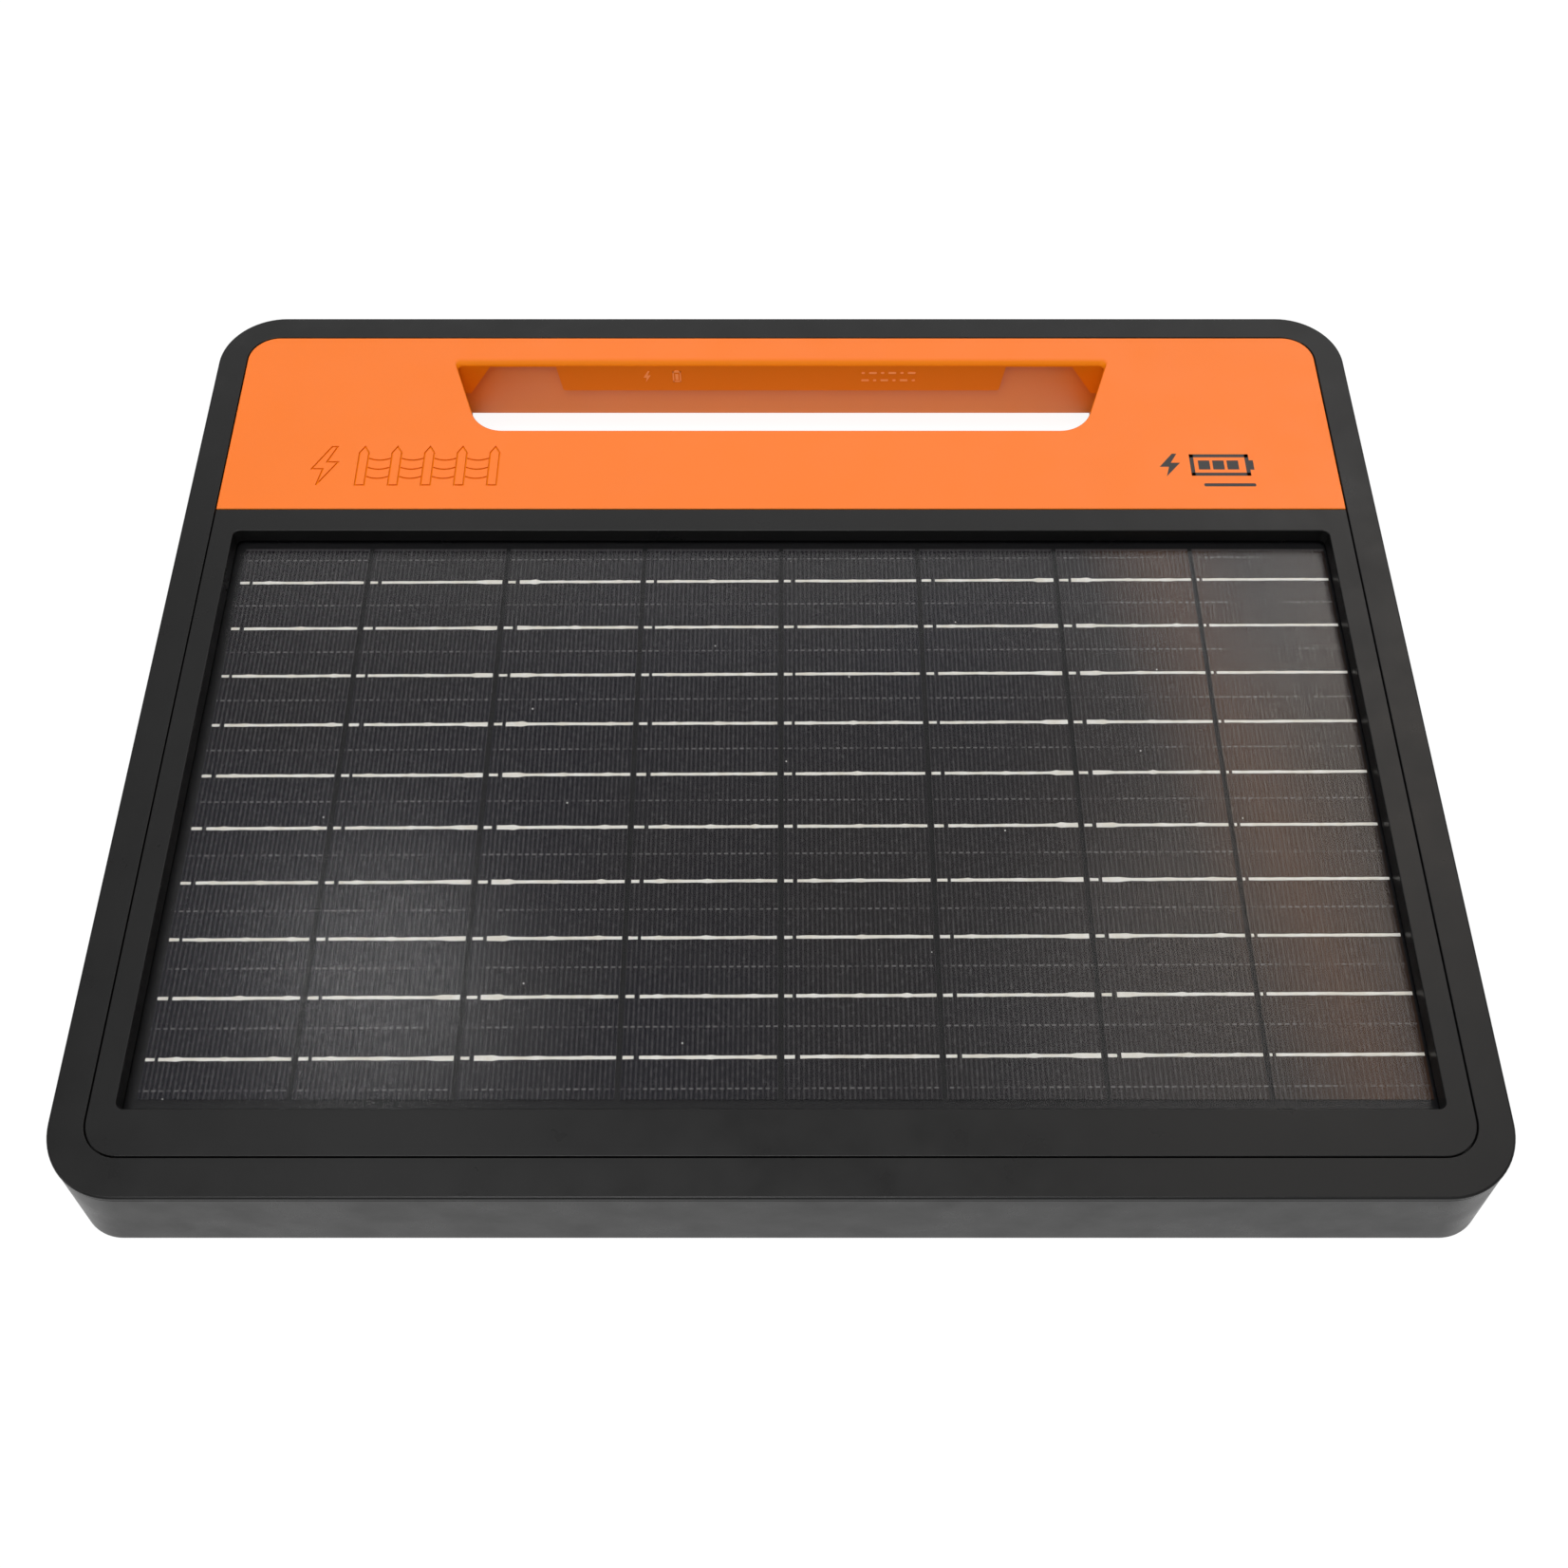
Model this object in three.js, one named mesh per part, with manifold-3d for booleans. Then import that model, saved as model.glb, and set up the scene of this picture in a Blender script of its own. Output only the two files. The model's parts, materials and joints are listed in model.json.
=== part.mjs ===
// Solar fence energizer: a flat weatherproof case with a solar panel in its face and a carry handle along
// its far edge. Millimetres, +Z up. It lies on its back: the back is at Z = 0, the panel faces +Z, the
// handle is towards +Y, and the origin is the centre of the case on the resting plane.
import * as THREE from 'three';
import { mergeVertices } from 'three/addons/utils/BufferGeometryUtils.js';
import Module from 'manifold-3d';

const wasm = await Module();
wasm.setup();

// ---------------------------------------------------------------- driving dimensions
const CASE_WIDTH = 375;
const CASE_LENGTH = 305;
const CASE_DEPTH = 34;
const CASE_CORNER_R = 20;
const WALL = 2.5;
const GAP = 0.3; // clearance between pieces that touch on the real object
const ARC_STEPS = 4; // half the segments in each quarter of an outline's rounded corner
const ROUND_STEPS = 16; // sides of a small round piece
const WIDE_ROUND_STEPS = 28; // sides of a wider one

// case halves
const RIM_FACE_THICKNESS = 1.8;
const RIM_UNDERSIDE_Z = CASE_DEPTH - RIM_FACE_THICKNESS;
const TUB_TOP_Z = RIM_UNDERSIDE_Z - GAP;
const LEDGE_TOP_Z = 31.3;
const LEDGE_BOTTOM_Z = 28.3;
const LEDGE_WIDTH = 2.5;
const SEAL_THICKNESS = 1.5;
const SHELF_TOP_Z = LEDGE_BOTTOM_Z - SEAL_THICKNESS - 2 * GAP;
const SHELF_THICKNESS = 2.2;
const SHELF_WIDTH = 3.5;

// the inset face inside the rim: black bezel near, orange handle cover far
const FACE_HALF_WIDTH = 178.2;
const FACE_NEAR_Y = -141.8;
const FACE_FAR_Y = 143.5;
const FACE_CORNER_R = 10;
const FACE_SEAM_Y = 69.2; // straight joint between bezel and handle cover
const FACE_PLATE_THICKNESS = 2.4;
const FACE_PLATE_Z = CASE_DEPTH - FACE_PLATE_THICKNESS;

// solar panel and its window
const WINDOW_HALF_WIDTH = 171;
const WINDOW_NEAR_Y = -128.8;
const WINDOW_FAR_Y = 60.5;
const WINDOW_CORNER_R = 2;
const WINDOW_DEPTH = 5.3;
const WINDOW_WALL = 2;
const GLASS_TOP_Z = CASE_DEPTH - WINDOW_DEPTH;
const GLASS_THICKNESS = 0.5;
const GLASS_MARGIN = 2; // how far the glass reaches under the bezel
const CELL_COUNT = 8;
const CELL_PITCH = 42.8;
const CELL_WIDTH = 41.4;
const FIRST_CELL_TRIM = 2.4; // the strip at the left end is cut a little narrower
const CELL_LENGTH = 182;
const CELL_THICKNESS = 0.4;
const CELL_NEAR_Y = -124;
const BACKSHEET_THICKNESS = 2.2; // a stiff board, which carries the cells
const CELL_TOP_Z = GLASS_TOP_Z - GLASS_THICKNESS - GAP;
const BACKSHEET_TOP_Z = CELL_TOP_Z - CELL_THICKNESS - GAP;
const BACKSHEET_BOTTOM_Z = BACKSHEET_TOP_Z - BACKSHEET_THICKNESS;

// hand hole: a trapezoid, wider at its far wall
const HOLE_FAR_Y = 131.5;
const HOLE_NEAR_Y = 102.1;
const HOLE_FAR_HALF_WIDTH = 108.3;
const HOLE_NEAR_HALF_WIDTH = 98.45;
const HOLE_CORNER_R = 11;
const HOLE_SKIRT = 2.2; // wall thickness of the orange lining
const SKIRT_BOTTOM_Z = 10.6;
const LIP_DEPTH = 1.5;
const TAB_HALF_WIDTH = 75.2;
const TAB_TAPER = 1.3;
const TAB_DEPTH = 12.7;
const TAB_THICKNESS = 1.2;
const GUSSET_WIDTH = 12.5;
const GUSSET_DEPTH = 14;

// grip bar behind the hole, thinner than the case so that fingers reach round it
const GRIP_WALL = 2;
const GRIP_WALL_Y = HOLE_FAR_Y + TAB_THICKNESS + GAP;
const GRIP_BOTTOM_Z = 8;
const GRIP_HALF_WIDTH = 108;
const CHEEK_TOP_Z = 14; // the case's cheeks hold the ends of the grip's back shell up to here

// screws through the back: [x, y]
const NEAR_SCREW_Y = -134.8;
const SCREW_PLACES = [
  [-150, NEAR_SCREW_Y],
  [0, NEAR_SCREW_Y],
  [150, NEAR_SCREW_Y],
  [-165, 84],
  [165, 84],
  [-165, 130],
  [165, 130],
  [0, 90],
];
const SCREW_SHANK_R = 1.75;
const SCREW_HEAD_R = 3.4;
const SCREW_HEAD_HEIGHT = 2.4;
const SCREW_RECESS_DEPTH = 3.2;
const SCREW_TIP_Z = 29;
const BOSS_R = 4;
const FRONT_BOSS_R = 3.5;
const BOSS_SPLIT_Z = 24;

// terminal bays, one in each side wall
const BAY_NEAR_Y = -122;
const BAY_FAR_Y = -82;
const BAY_CEILING_Z = 20;
const BAY_INNER_X = 150;
const TERMINAL_Y = (BAY_NEAR_Y + BAY_FAR_Y) / 2;
const TERMINAL_Z = 10;
const STUD_R = 3;
const STUD_END_X = 168;
const STUD_INNER_X = 138;
const STUD_FLANGE_R = 7;
const STUD_FLANGE_THICKNESS = 2;
const WASHER_THICKNESS = 1.5;
// at rest each clamp stands open by this much, ready for a lead
const CLAMP_OPENING = 2;
const WASHER_X = BAY_INNER_X + GAP + STUD_FLANGE_THICKNESS + GAP + CLAMP_OPENING;
const KNOB_R = 8.5;
const KNOB_LENGTH = 16;
const KNOB_LOBES = 8;
const NUT_R = 5.6;
const NUT_THICKNESS = 5;

// power button in the back
const BUTTON_X = 142;
const BUTTON_Y = 104;
const BUTTON_R = 7;
const BUTTON_DISH_R = 13;
const BUTTON_DISH_DEPTH = 1.2;
const BUTTON_BOSS_R = 16;
const BUTTON_BOSS_TOP_Z = 4.4;
const BUTTON_FACE_Z = 0.4;
const BUTTON_FLANGE_R = 8.6;
const BUTTON_FLANGE_THICKNESS = 1.4;
const BUTTON_STEM_R = 2.4;
const BUTTON_STEM_END_Z = 9.4;
const SWITCH_BOARD_Z = 15.6;
const SWITCH_BOARD_SIZE = 24;
const SWITCH_SIZE = 5.2;
const SWITCH_HEIGHT = 3.4;
const SPRING_R = 4.6;
const SPRING_WIRE_R = 0.4;
const SPRING_TURNS = 5;

// pressure vent in the back
const VENT_X = -142;
const VENT_Y = 104;
const VENT_CAP_R = 6;
const VENT_STEM_R = 2.6;
const VENT_BOSS_R = 9;

// keyholes for hanging the case on two screw heads
const KEYHOLE_ENTRY_YS = [58, -118];
const KEYHOLE_ENTRY_R = 5.5;
const KEYHOLE_SLOT_HALF_WIDTH = 2.8;
const KEYHOLE_RISE = 15;
const KEYHOLE_POCKET_TOP_Z = 7.6;
const KEYHOLE_POCKET_HALF_WIDTH = 6.4;

// battery and electronics
const BATTERY_CELL_R = 9.2;
const BATTERY_CELL_LENGTH = 65;
const BATTERY_CELL_COUNT = 4;
const BATTERY_PITCH = 19;
const BATTERY_CENTRE_X = 74;
const BATTERY_CENTRE_Y = -2;
const BATTERY_AXIS_Z = 13.4;
const CRADLE_WALL = 1.6;
const CRADLE_TOP_Z = 12;
const BOARD_Z = 8;
const BOARD_THICKNESS = 1.6;
const BOARD_SIZE = [100, 80];
const BOARD_CENTRE = [-58, -4];
const TRANSFORMER_CENTRE = [-44, -88];
const CORE_SIZE = [36, 30, 10];
const CORE_MIDDLE_LEG = 10;
const CORE_WINDOW = [7, 18];
const WINDING_DEPTH = 3.6;
const LEAD_R = 1;

// ---------------------------------------------------------------- materials
function plastic(color, roughness) {
  return new THREE.MeshStandardMaterial({ color, roughness, metalness: 0 });
}

function metal(color, roughness) {
  return new THREE.MeshStandardMaterial({ color, roughness, metalness: 1 });
}

const MATERIALS = {
  blackCase: plastic(0x2b2b2b, 0.55),
  orangeCase: plastic(0xfc823a, 0.5),
  glass: plastic(0x1d1d22, 0.1),
  cell: plastic(0x1b1b26, 0.3),
  backsheet: plastic(0x1c1c1d, 0.6),
  rubber: plastic(0x191919, 0.9),
  battery: plastic(0x2e6fb0, 0.4),
  cradle: plastic(0x3a3a3c, 0.7),
  board: plastic(0x1f6b3a, 0.45),
  chip: plastic(0x151515, 0.5),
  capacitor: plastic(0xd9a528, 0.4),
  led: plastic(0xf2f2e8, 0.2),
  redKnob: plastic(0xc4201c, 0.45),
  greenKnob: plastic(0x1f8a3b, 0.45),
  steel: metal(0xb9bcc0, 0.35),
  ferrite: plastic(0x3c3d40, 0.6),
  copper: metal(0xb8642e, 0.35),
  redWire: plastic(0xb3211e, 0.5),
  blackWire: plastic(0x1c1c1c, 0.5),
  whiteWire: plastic(0xd8d8d2, 0.5),
};

// ---------------------------------------------------------------- solids and booleans
function toSolid(geometry) {
  const bare = geometry.index ? geometry.toNonIndexed() : geometry.clone();
  bare.deleteAttribute('normal');
  bare.deleteAttribute('uv');
  const merged = mergeVertices(bare, 1e-4);
  const mesh = new wasm.Mesh({
    numProp: 3,
    vertProperties: new Float32Array(merged.attributes.position.array),
    triVerts: new Uint32Array(merged.index.array),
  });
  return new wasm.Manifold(mesh);
}

function toGeometry(solid) {
  const mesh = solid.getMesh();
  const geometry = new THREE.BufferGeometry();
  geometry.setAttribute('position', new THREE.BufferAttribute(new Float32Array(mesh.vertProperties), 3));
  geometry.setIndex(new THREE.BufferAttribute(new Uint32Array(mesh.triVerts), 1));
  geometry.computeVertexNormals();
  return geometry;
}

function join(first, ...others) {
  return others.reduce((solid, other) => solid.add(other), first);
}

function cut(first, ...tools) {
  return tools.reduce((solid, tool) => solid.subtract(tool), first);
}

function block(x0, x1, y0, y1, z0, z1) {
  const geometry = new THREE.BoxGeometry(x1 - x0, y1 - y0, z1 - z0);
  geometry.translate((x0 + x1) / 2, (y0 + y1) / 2, (z0 + z1) / 2);
  return toSolid(geometry);
}

// an upright cylinder at (x, y) from z0 to z1
function post(x, y, radius, z0, z1, steps = ROUND_STEPS) {
  const geometry = new THREE.CylinderGeometry(radius, radius, z1 - z0, steps);
  geometry.rotateX(Math.PI / 2);
  geometry.translate(x, y, (z0 + z1) / 2);
  return toSolid(geometry);
}

// a cylinder along X at (y, z) from x0 to x1
function rodAlongX(y, z, radius, x0, x1, steps = ROUND_STEPS) {
  const geometry = new THREE.CylinderGeometry(radius, radius, Math.abs(x1 - x0), steps);
  geometry.rotateZ(Math.PI / 2);
  geometry.translate((x0 + x1) / 2, y, z);
  return toSolid(geometry);
}

function prism(shape, z0, z1, curveSegments = ARC_STEPS) {
  const geometry = new THREE.ExtrudeGeometry(shape, { depth: z1 - z0, bevelEnabled: false, curveSegments });
  geometry.translate(0, 0, z0);
  return toSolid(geometry);
}

// a rounded rectangle with its own radius at the near (low Y) and far (high Y) corners
function roundedOutline(halfWidth, nearY, farY, nearR, farR) {
  const shape = new THREE.Shape();
  shape.moveTo(-halfWidth + nearR, nearY);
  shape.lineTo(halfWidth - nearR, nearY);
  if (nearR > 0) {
    shape.absarc(halfWidth - nearR, nearY + nearR, nearR, -Math.PI / 2, 0);
  }
  shape.lineTo(halfWidth, farY - farR);
  if (farR > 0) {
    shape.absarc(halfWidth - farR, farY - farR, farR, 0, Math.PI / 2);
  }
  shape.lineTo(-halfWidth + farR, farY);
  if (farR > 0) {
    shape.absarc(-halfWidth + farR, farY - farR, farR, Math.PI / 2, Math.PI);
  }
  shape.lineTo(-halfWidth, nearY + nearR);
  if (nearR > 0) {
    shape.absarc(-halfWidth + nearR, nearY + nearR, nearR, Math.PI, 1.5 * Math.PI);
  }
  return shape;
}

// the case outline, moved inwards by an inset
function caseOutline(inset) {
  const radius = CASE_CORNER_R - inset;
  const halfLength = CASE_LENGTH / 2 - inset;
  return roundedOutline(CASE_WIDTH / 2 - inset, -halfLength, halfLength, radius, radius);
}

// the outline of the inset face, moved outwards by an offset
function faceOutline(offset) {
  const radius = FACE_CORNER_R + offset;
  return roundedOutline(FACE_HALF_WIDTH + offset, FACE_NEAR_Y - offset, FACE_FAR_Y + offset, radius, radius);
}

// the hand hole, moved outwards by an offset
function holeOutline(offset) {
  const slant = Math.atan2(HOLE_FAR_HALF_WIDTH - HOLE_NEAR_HALF_WIDTH, HOLE_FAR_Y - HOLE_NEAR_Y);
  const sideShift = offset / Math.cos(slant);
  const nearY = HOLE_NEAR_Y - offset;
  const farY = HOLE_FAR_Y + offset;
  const nearX = HOLE_NEAR_HALF_WIDTH + sideShift - offset * Math.tan(slant);
  const farX = HOLE_FAR_HALF_WIDTH + sideShift + offset * Math.tan(slant);
  const radius = HOLE_CORNER_R + offset;
  const turn = Math.PI / 2 - slant; // how far the outline turns at a near corner
  const tangent = radius * Math.tan(turn / 2);
  const centreX = nearX - tangent;
  const centreY = nearY + radius;
  const shape = new THREE.Shape();
  shape.moveTo(-centreX, nearY);
  shape.lineTo(centreX, nearY);
  shape.absarc(centreX, centreY, radius, -Math.PI / 2, -Math.PI / 2 + turn);
  shape.lineTo(farX, farY);
  shape.lineTo(-farX, farY);
  shape.absarc(-centreX, centreY, radius, -Math.PI / 2 - turn, -Math.PI / 2);
  return shape;
}

// ---------------------------------------------------------------- assembly
const energizer = new THREE.Group();

function addPiece(name, shape, material) {
  const geometry = shape instanceof THREE.BufferGeometry ? shape : toGeometry(shape);
  const mesh = new THREE.Mesh(geometry, material.clone());
  mesh.name = name;
  energizer.add(mesh);
}

// ---------------------------------------------------------------- rear housing
// the wall round the hand hole, and the cheeks at both ends of the grip bar
function handleWell() {
  const collar = prism(holeOutline(WALL), 0, SKIRT_BOTTOM_Z - GAP);
  const innerX = GRIP_HALF_WIDTH + GAP;
  const farInside = CASE_LENGTH / 2 - 1;
  const cheeks = [-1, 1].map((side) => {
    const xs = [side * innerX, side * (innerX + WALL)].sort((a, b) => a - b);
    return block(xs[0], xs[1], HOLE_FAR_Y + GAP, farInside, 0, CHEEK_TOP_Z);
  });
  return join(collar, ...cheeks);
}

// the space under the grip bar that fingers curl into, and above it the seat of the grip's back shell
function fingerArch() {
  const halfWidth = GRIP_HALF_WIDTH + GAP;
  const wallInside = CASE_LENGTH / 2 - WALL;
  const arch = block(-halfWidth, halfWidth, HOLE_FAR_Y - 1, CASE_LENGTH, -1, GRIP_BOTTOM_Z - GAP);
  const seat = block(-halfWidth, halfWidth, HOLE_FAR_Y - 1, wallInside, -1, CHEEK_TOP_Z);
  return join(arch, seat);
}

function keyholeBlock(entryY) {
  const halfWidth = KEYHOLE_POCKET_HALF_WIDTH + WALL;
  const y0 = entryY - KEYHOLE_ENTRY_R - WALL - 1;
  const y1 = entryY + KEYHOLE_RISE + KEYHOLE_POCKET_HALF_WIDTH + WALL;
  return block(-halfWidth, halfWidth, y0, y1, 0, KEYHOLE_POCKET_TOP_Z + WALL);
}

function keyholeVoid(entryY) {
  const slotY = entryY + KEYHOLE_RISE;
  const entry = post(0, entryY, KEYHOLE_ENTRY_R, -1, WALL + 1);
  const slot = block(-KEYHOLE_SLOT_HALF_WIDTH, KEYHOLE_SLOT_HALF_WIDTH, entryY, slotY, -1, WALL + 1);
  const slotEnd = post(0, slotY, KEYHOLE_SLOT_HALF_WIDTH, -1, WALL + 1);
  const pocket = block(
    -KEYHOLE_POCKET_HALF_WIDTH,
    KEYHOLE_POCKET_HALF_WIDTH,
    entryY - KEYHOLE_ENTRY_R - 1,
    slotY + KEYHOLE_POCKET_HALF_WIDTH,
    WALL,
    KEYHOLE_POCKET_TOP_Z,
  );
  return join(entry, slot, slotEnd, pocket);
}

function bayBlock(side) {
  const xs = [side * (CASE_WIDTH / 2 - 1), side * (BAY_INNER_X - WALL)].sort((a, b) => a - b);
  return block(xs[0], xs[1], BAY_NEAR_Y - WALL, BAY_FAR_Y + WALL, 0, BAY_CEILING_Z + WALL);
}

function bayVoid(side) {
  const xs = [side * (CASE_WIDTH / 2 + 1), side * BAY_INNER_X].sort((a, b) => a - b);
  const bay = block(xs[0], xs[1], BAY_NEAR_Y, BAY_FAR_Y, -1, BAY_CEILING_Z);
  const studHole = rodAlongX(
    TERMINAL_Y,
    TERMINAL_Z,
    STUD_R + GAP,
    side * (BAY_INNER_X - WALL - 1),
    side * (BAY_INNER_X + 1),
  );
  return join(bay, studHole);
}

function screwBoss([x, y]) {
  return post(x, y, BOSS_R, 0, BOSS_SPLIT_Z - GAP);
}

function screwVoid([x, y]) {
  const recess = post(x, y, SCREW_HEAD_R + GAP, -1, SCREW_RECESS_DEPTH);
  const shank = post(x, y, SCREW_SHANK_R + GAP, -1, BOSS_SPLIT_Z + 1);
  return join(recess, shank);
}

const BOARD_POSTS = [
  [-1, -1],
  [1, -1],
  [-1, 1],
  [1, 1],
].map(([sx, sy]) => [
  BOARD_CENTRE[0] + sx * (BOARD_SIZE[0] / 2 - 6),
  BOARD_CENTRE[1] + sy * (BOARD_SIZE[1] / 2 - 6),
]);

const SWITCH_POSTS = [-1, 1].map((side) => [
  BUTTON_X + side * (SWITCH_BOARD_SIZE / 2 - 2),
  BUTTON_Y + side * (SWITCH_BOARD_SIZE / 2 - 2),
]);

function rearHousing() {
  const shell = cut(prism(caseOutline(0), 0, TUB_TOP_Z), prism(caseOutline(WALL), WALL, CASE_DEPTH));
  const shelf = cut(
    prism(caseOutline(WALL - 0.5), SHELF_TOP_Z - SHELF_THICKNESS, SHELF_TOP_Z),
    prism(caseOutline(WALL + SHELF_WIDTH), 0, CASE_DEPTH),
  );
  const additions = [
    shelf,
    handleWell(),
    bayBlock(-1),
    bayBlock(1),
    post(BUTTON_X, BUTTON_Y, BUTTON_BOSS_R, 0, BUTTON_BOSS_TOP_Z, WIDE_ROUND_STEPS),
    post(VENT_X, VENT_Y, VENT_BOSS_R, 0, 4.5),
    ...KEYHOLE_ENTRY_YS.map(keyholeBlock),
    ...SCREW_PLACES.map(screwBoss),
    ...BOARD_POSTS.map(([x, y]) => post(x, y, 3, 0, BOARD_Z - GAP, 12)),
    ...SWITCH_POSTS.map(([x, y]) => post(x, y, 2.5, 0, SWITCH_BOARD_Z - GAP, 12)),
  ];
  const removals = [
    prism(holeOutline(0), -1, SKIRT_BOTTOM_Z + 1),
    fingerArch(),
    bayVoid(-1),
    bayVoid(1),
    post(BUTTON_X, BUTTON_Y, BUTTON_DISH_R, -1, BUTTON_DISH_DEPTH, WIDE_ROUND_STEPS),
    post(BUTTON_X, BUTTON_Y, BUTTON_R + 0.4, -1, BUTTON_BOSS_TOP_Z + 1, WIDE_ROUND_STEPS),
    post(VENT_X, VENT_Y, VENT_CAP_R + 0.8, -1, 1.5),
    post(VENT_X, VENT_Y, VENT_STEM_R + GAP, -1, 6),
    ...KEYHOLE_ENTRY_YS.map(keyholeVoid),
    ...SCREW_PLACES.map(screwVoid),
  ];
  return cut(join(shell, ...additions), ...removals);
}

addPiece('rear_housing', rearHousing(), MATERIALS.blackCase);

// ---------------------------------------------------------------- front rim and its seal
function ring(outer, inner, z0, z1) {
  return cut(prism(outer, z0, z1), prism(inner, z0 - 1, z1 + 1));
}

function frontRim() {
  const face = ring(caseOutline(0), faceOutline(0), RIM_UNDERSIDE_Z, CASE_DEPTH);
  const skirt = ring(caseOutline(WALL + GAP), faceOutline(0), LEDGE_BOTTOM_Z, RIM_UNDERSIDE_Z + 0.5);
  const ledge = ring(faceOutline(1), faceOutline(-LEDGE_WIDTH), LEDGE_BOTTOM_Z, LEDGE_TOP_Z);
  return join(face, skirt, ledge);
}

addPiece('front_rim', frontRim(), MATERIALS.blackCase);

const sealBottomZ = SHELF_TOP_Z + GAP;
const housingSeal = ring(
  caseOutline(WALL + GAP),
  caseOutline(WALL + SHELF_WIDTH - 0.5),
  sealBottomZ,
  sealBottomZ + SEAL_THICKNESS,
);
addPiece('housing_seal', housingSeal, MATERIALS.rubber);

// ---------------------------------------------------------------- solar panel
function frontScrewHole([x, y]) {
  return post(x, y, SCREW_SHANK_R + GAP, BOSS_SPLIT_Z - 1, SCREW_TIP_Z + 0.5);
}

function frontBoss([x, y]) {
  return post(x, y, FRONT_BOSS_R, BOSS_SPLIT_Z, FACE_PLATE_Z + 0.5);
}

const bezelScrews = SCREW_PLACES.filter(([, y]) => y < 0);
const coverScrews = SCREW_PLACES.filter(([, y]) => y > 0);

function windowOutline(offset) {
  return roundedOutline(
    WINDOW_HALF_WIDTH + offset,
    WINDOW_NEAR_Y - offset,
    WINDOW_FAR_Y + offset,
    WINDOW_CORNER_R + offset,
    WINDOW_CORNER_R + offset,
  );
}

function panelBezel() {
  const outer = roundedOutline(
    FACE_HALF_WIDTH - GAP,
    FACE_NEAR_Y + GAP,
    FACE_SEAM_Y - GAP / 2,
    FACE_CORNER_R - GAP,
    0,
  );
  const plate = prism(outer, FACE_PLATE_Z, CASE_DEPTH);
  const windowWall = prism(windowOutline(WINDOW_WALL), GLASS_TOP_Z + GAP, FACE_PLATE_Z + 0.5);
  const body = join(plate, windowWall, ...bezelScrews.map(frontBoss));
  return cut(body, prism(windowOutline(0), 0, CASE_DEPTH + 1), ...bezelScrews.map(frontScrewHole));
}

addPiece('panel_bezel', panelBezel(), MATERIALS.blackCase);

const glassZ = GLASS_TOP_Z - GLASS_THICKNESS;
addPiece('panel_glass', prism(windowOutline(GLASS_MARGIN), glassZ, GLASS_TOP_Z, 3), MATERIALS.glass);

for (let index = 0; index < CELL_COUNT; index += 1) {
  const centreX = (index - (CELL_COUNT - 1) / 2) * CELL_PITCH;
  const trim = index === 0 ? FIRST_CELL_TRIM : 0;
  const cell = block(
    centreX - CELL_WIDTH / 2 + trim,
    centreX + CELL_WIDTH / 2,
    CELL_NEAR_Y,
    CELL_NEAR_Y + CELL_LENGTH,
    CELL_TOP_Z - CELL_THICKNESS,
    CELL_TOP_Z,
  );
  addPiece(`solar_cell_${index + 1}`, cell, MATERIALS.cell);
}

const backsheet = prism(windowOutline(0.5), BACKSHEET_BOTTOM_Z, BACKSHEET_TOP_Z, 2);
addPiece('panel_backsheet', backsheet, MATERIALS.backsheet);

const junctionBoxTop = BACKSHEET_BOTTOM_Z - GAP;
const JUNCTION_BOX = { x: -20, y: 44, size: 24, bottom: 14 };
const junctionBox = block(
  JUNCTION_BOX.x - JUNCTION_BOX.size / 2,
  JUNCTION_BOX.x + JUNCTION_BOX.size / 2,
  JUNCTION_BOX.y - JUNCTION_BOX.size / 4,
  JUNCTION_BOX.y + JUNCTION_BOX.size / 4,
  JUNCTION_BOX.bottom,
  junctionBoxTop,
);
addPiece('panel_junction_box', junctionBox, MATERIALS.chip);

// ---------------------------------------------------------------- handle
// the apron that hangs from the far lip of the hole, and the webs in its two end corners
function indicatorTab() {
  const profile = new THREE.Shape();
  const topZ = CASE_DEPTH - LIP_DEPTH + 0.5;
  profile.moveTo(-TAB_HALF_WIDTH, topZ);
  profile.lineTo(-TAB_HALF_WIDTH + TAB_TAPER, CASE_DEPTH - TAB_DEPTH);
  profile.lineTo(TAB_HALF_WIDTH - TAB_TAPER, CASE_DEPTH - TAB_DEPTH);
  profile.lineTo(TAB_HALF_WIDTH, topZ);
  return uprightPlate(profile);
}

function cornerGusset(side) {
  const profile = new THREE.Shape();
  const endX = side * (HOLE_FAR_HALF_WIDTH + 1);
  const tipX = side * (HOLE_FAR_HALF_WIDTH - 3);
  const topZ = CASE_DEPTH - LIP_DEPTH + 0.5;
  profile.moveTo(endX, topZ);
  profile.lineTo(tipX + side * 2, CASE_DEPTH - GUSSET_DEPTH);
  profile.lineTo(tipX, CASE_DEPTH - GUSSET_DEPTH);
  profile.lineTo(endX - side * GUSSET_WIDTH, topZ);
  return uprightPlate(profile);
}

// a plate drawn in X and Z, standing just behind the far wall line of the hole
function uprightPlate(profile) {
  const geometry = new THREE.ExtrudeGeometry(profile, { depth: TAB_THICKNESS, bevelEnabled: false });
  geometry.rotateX(Math.PI / 2);
  geometry.translate(0, HOLE_FAR_Y + TAB_THICKNESS, 0);
  return toSolid(geometry);
}

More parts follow.
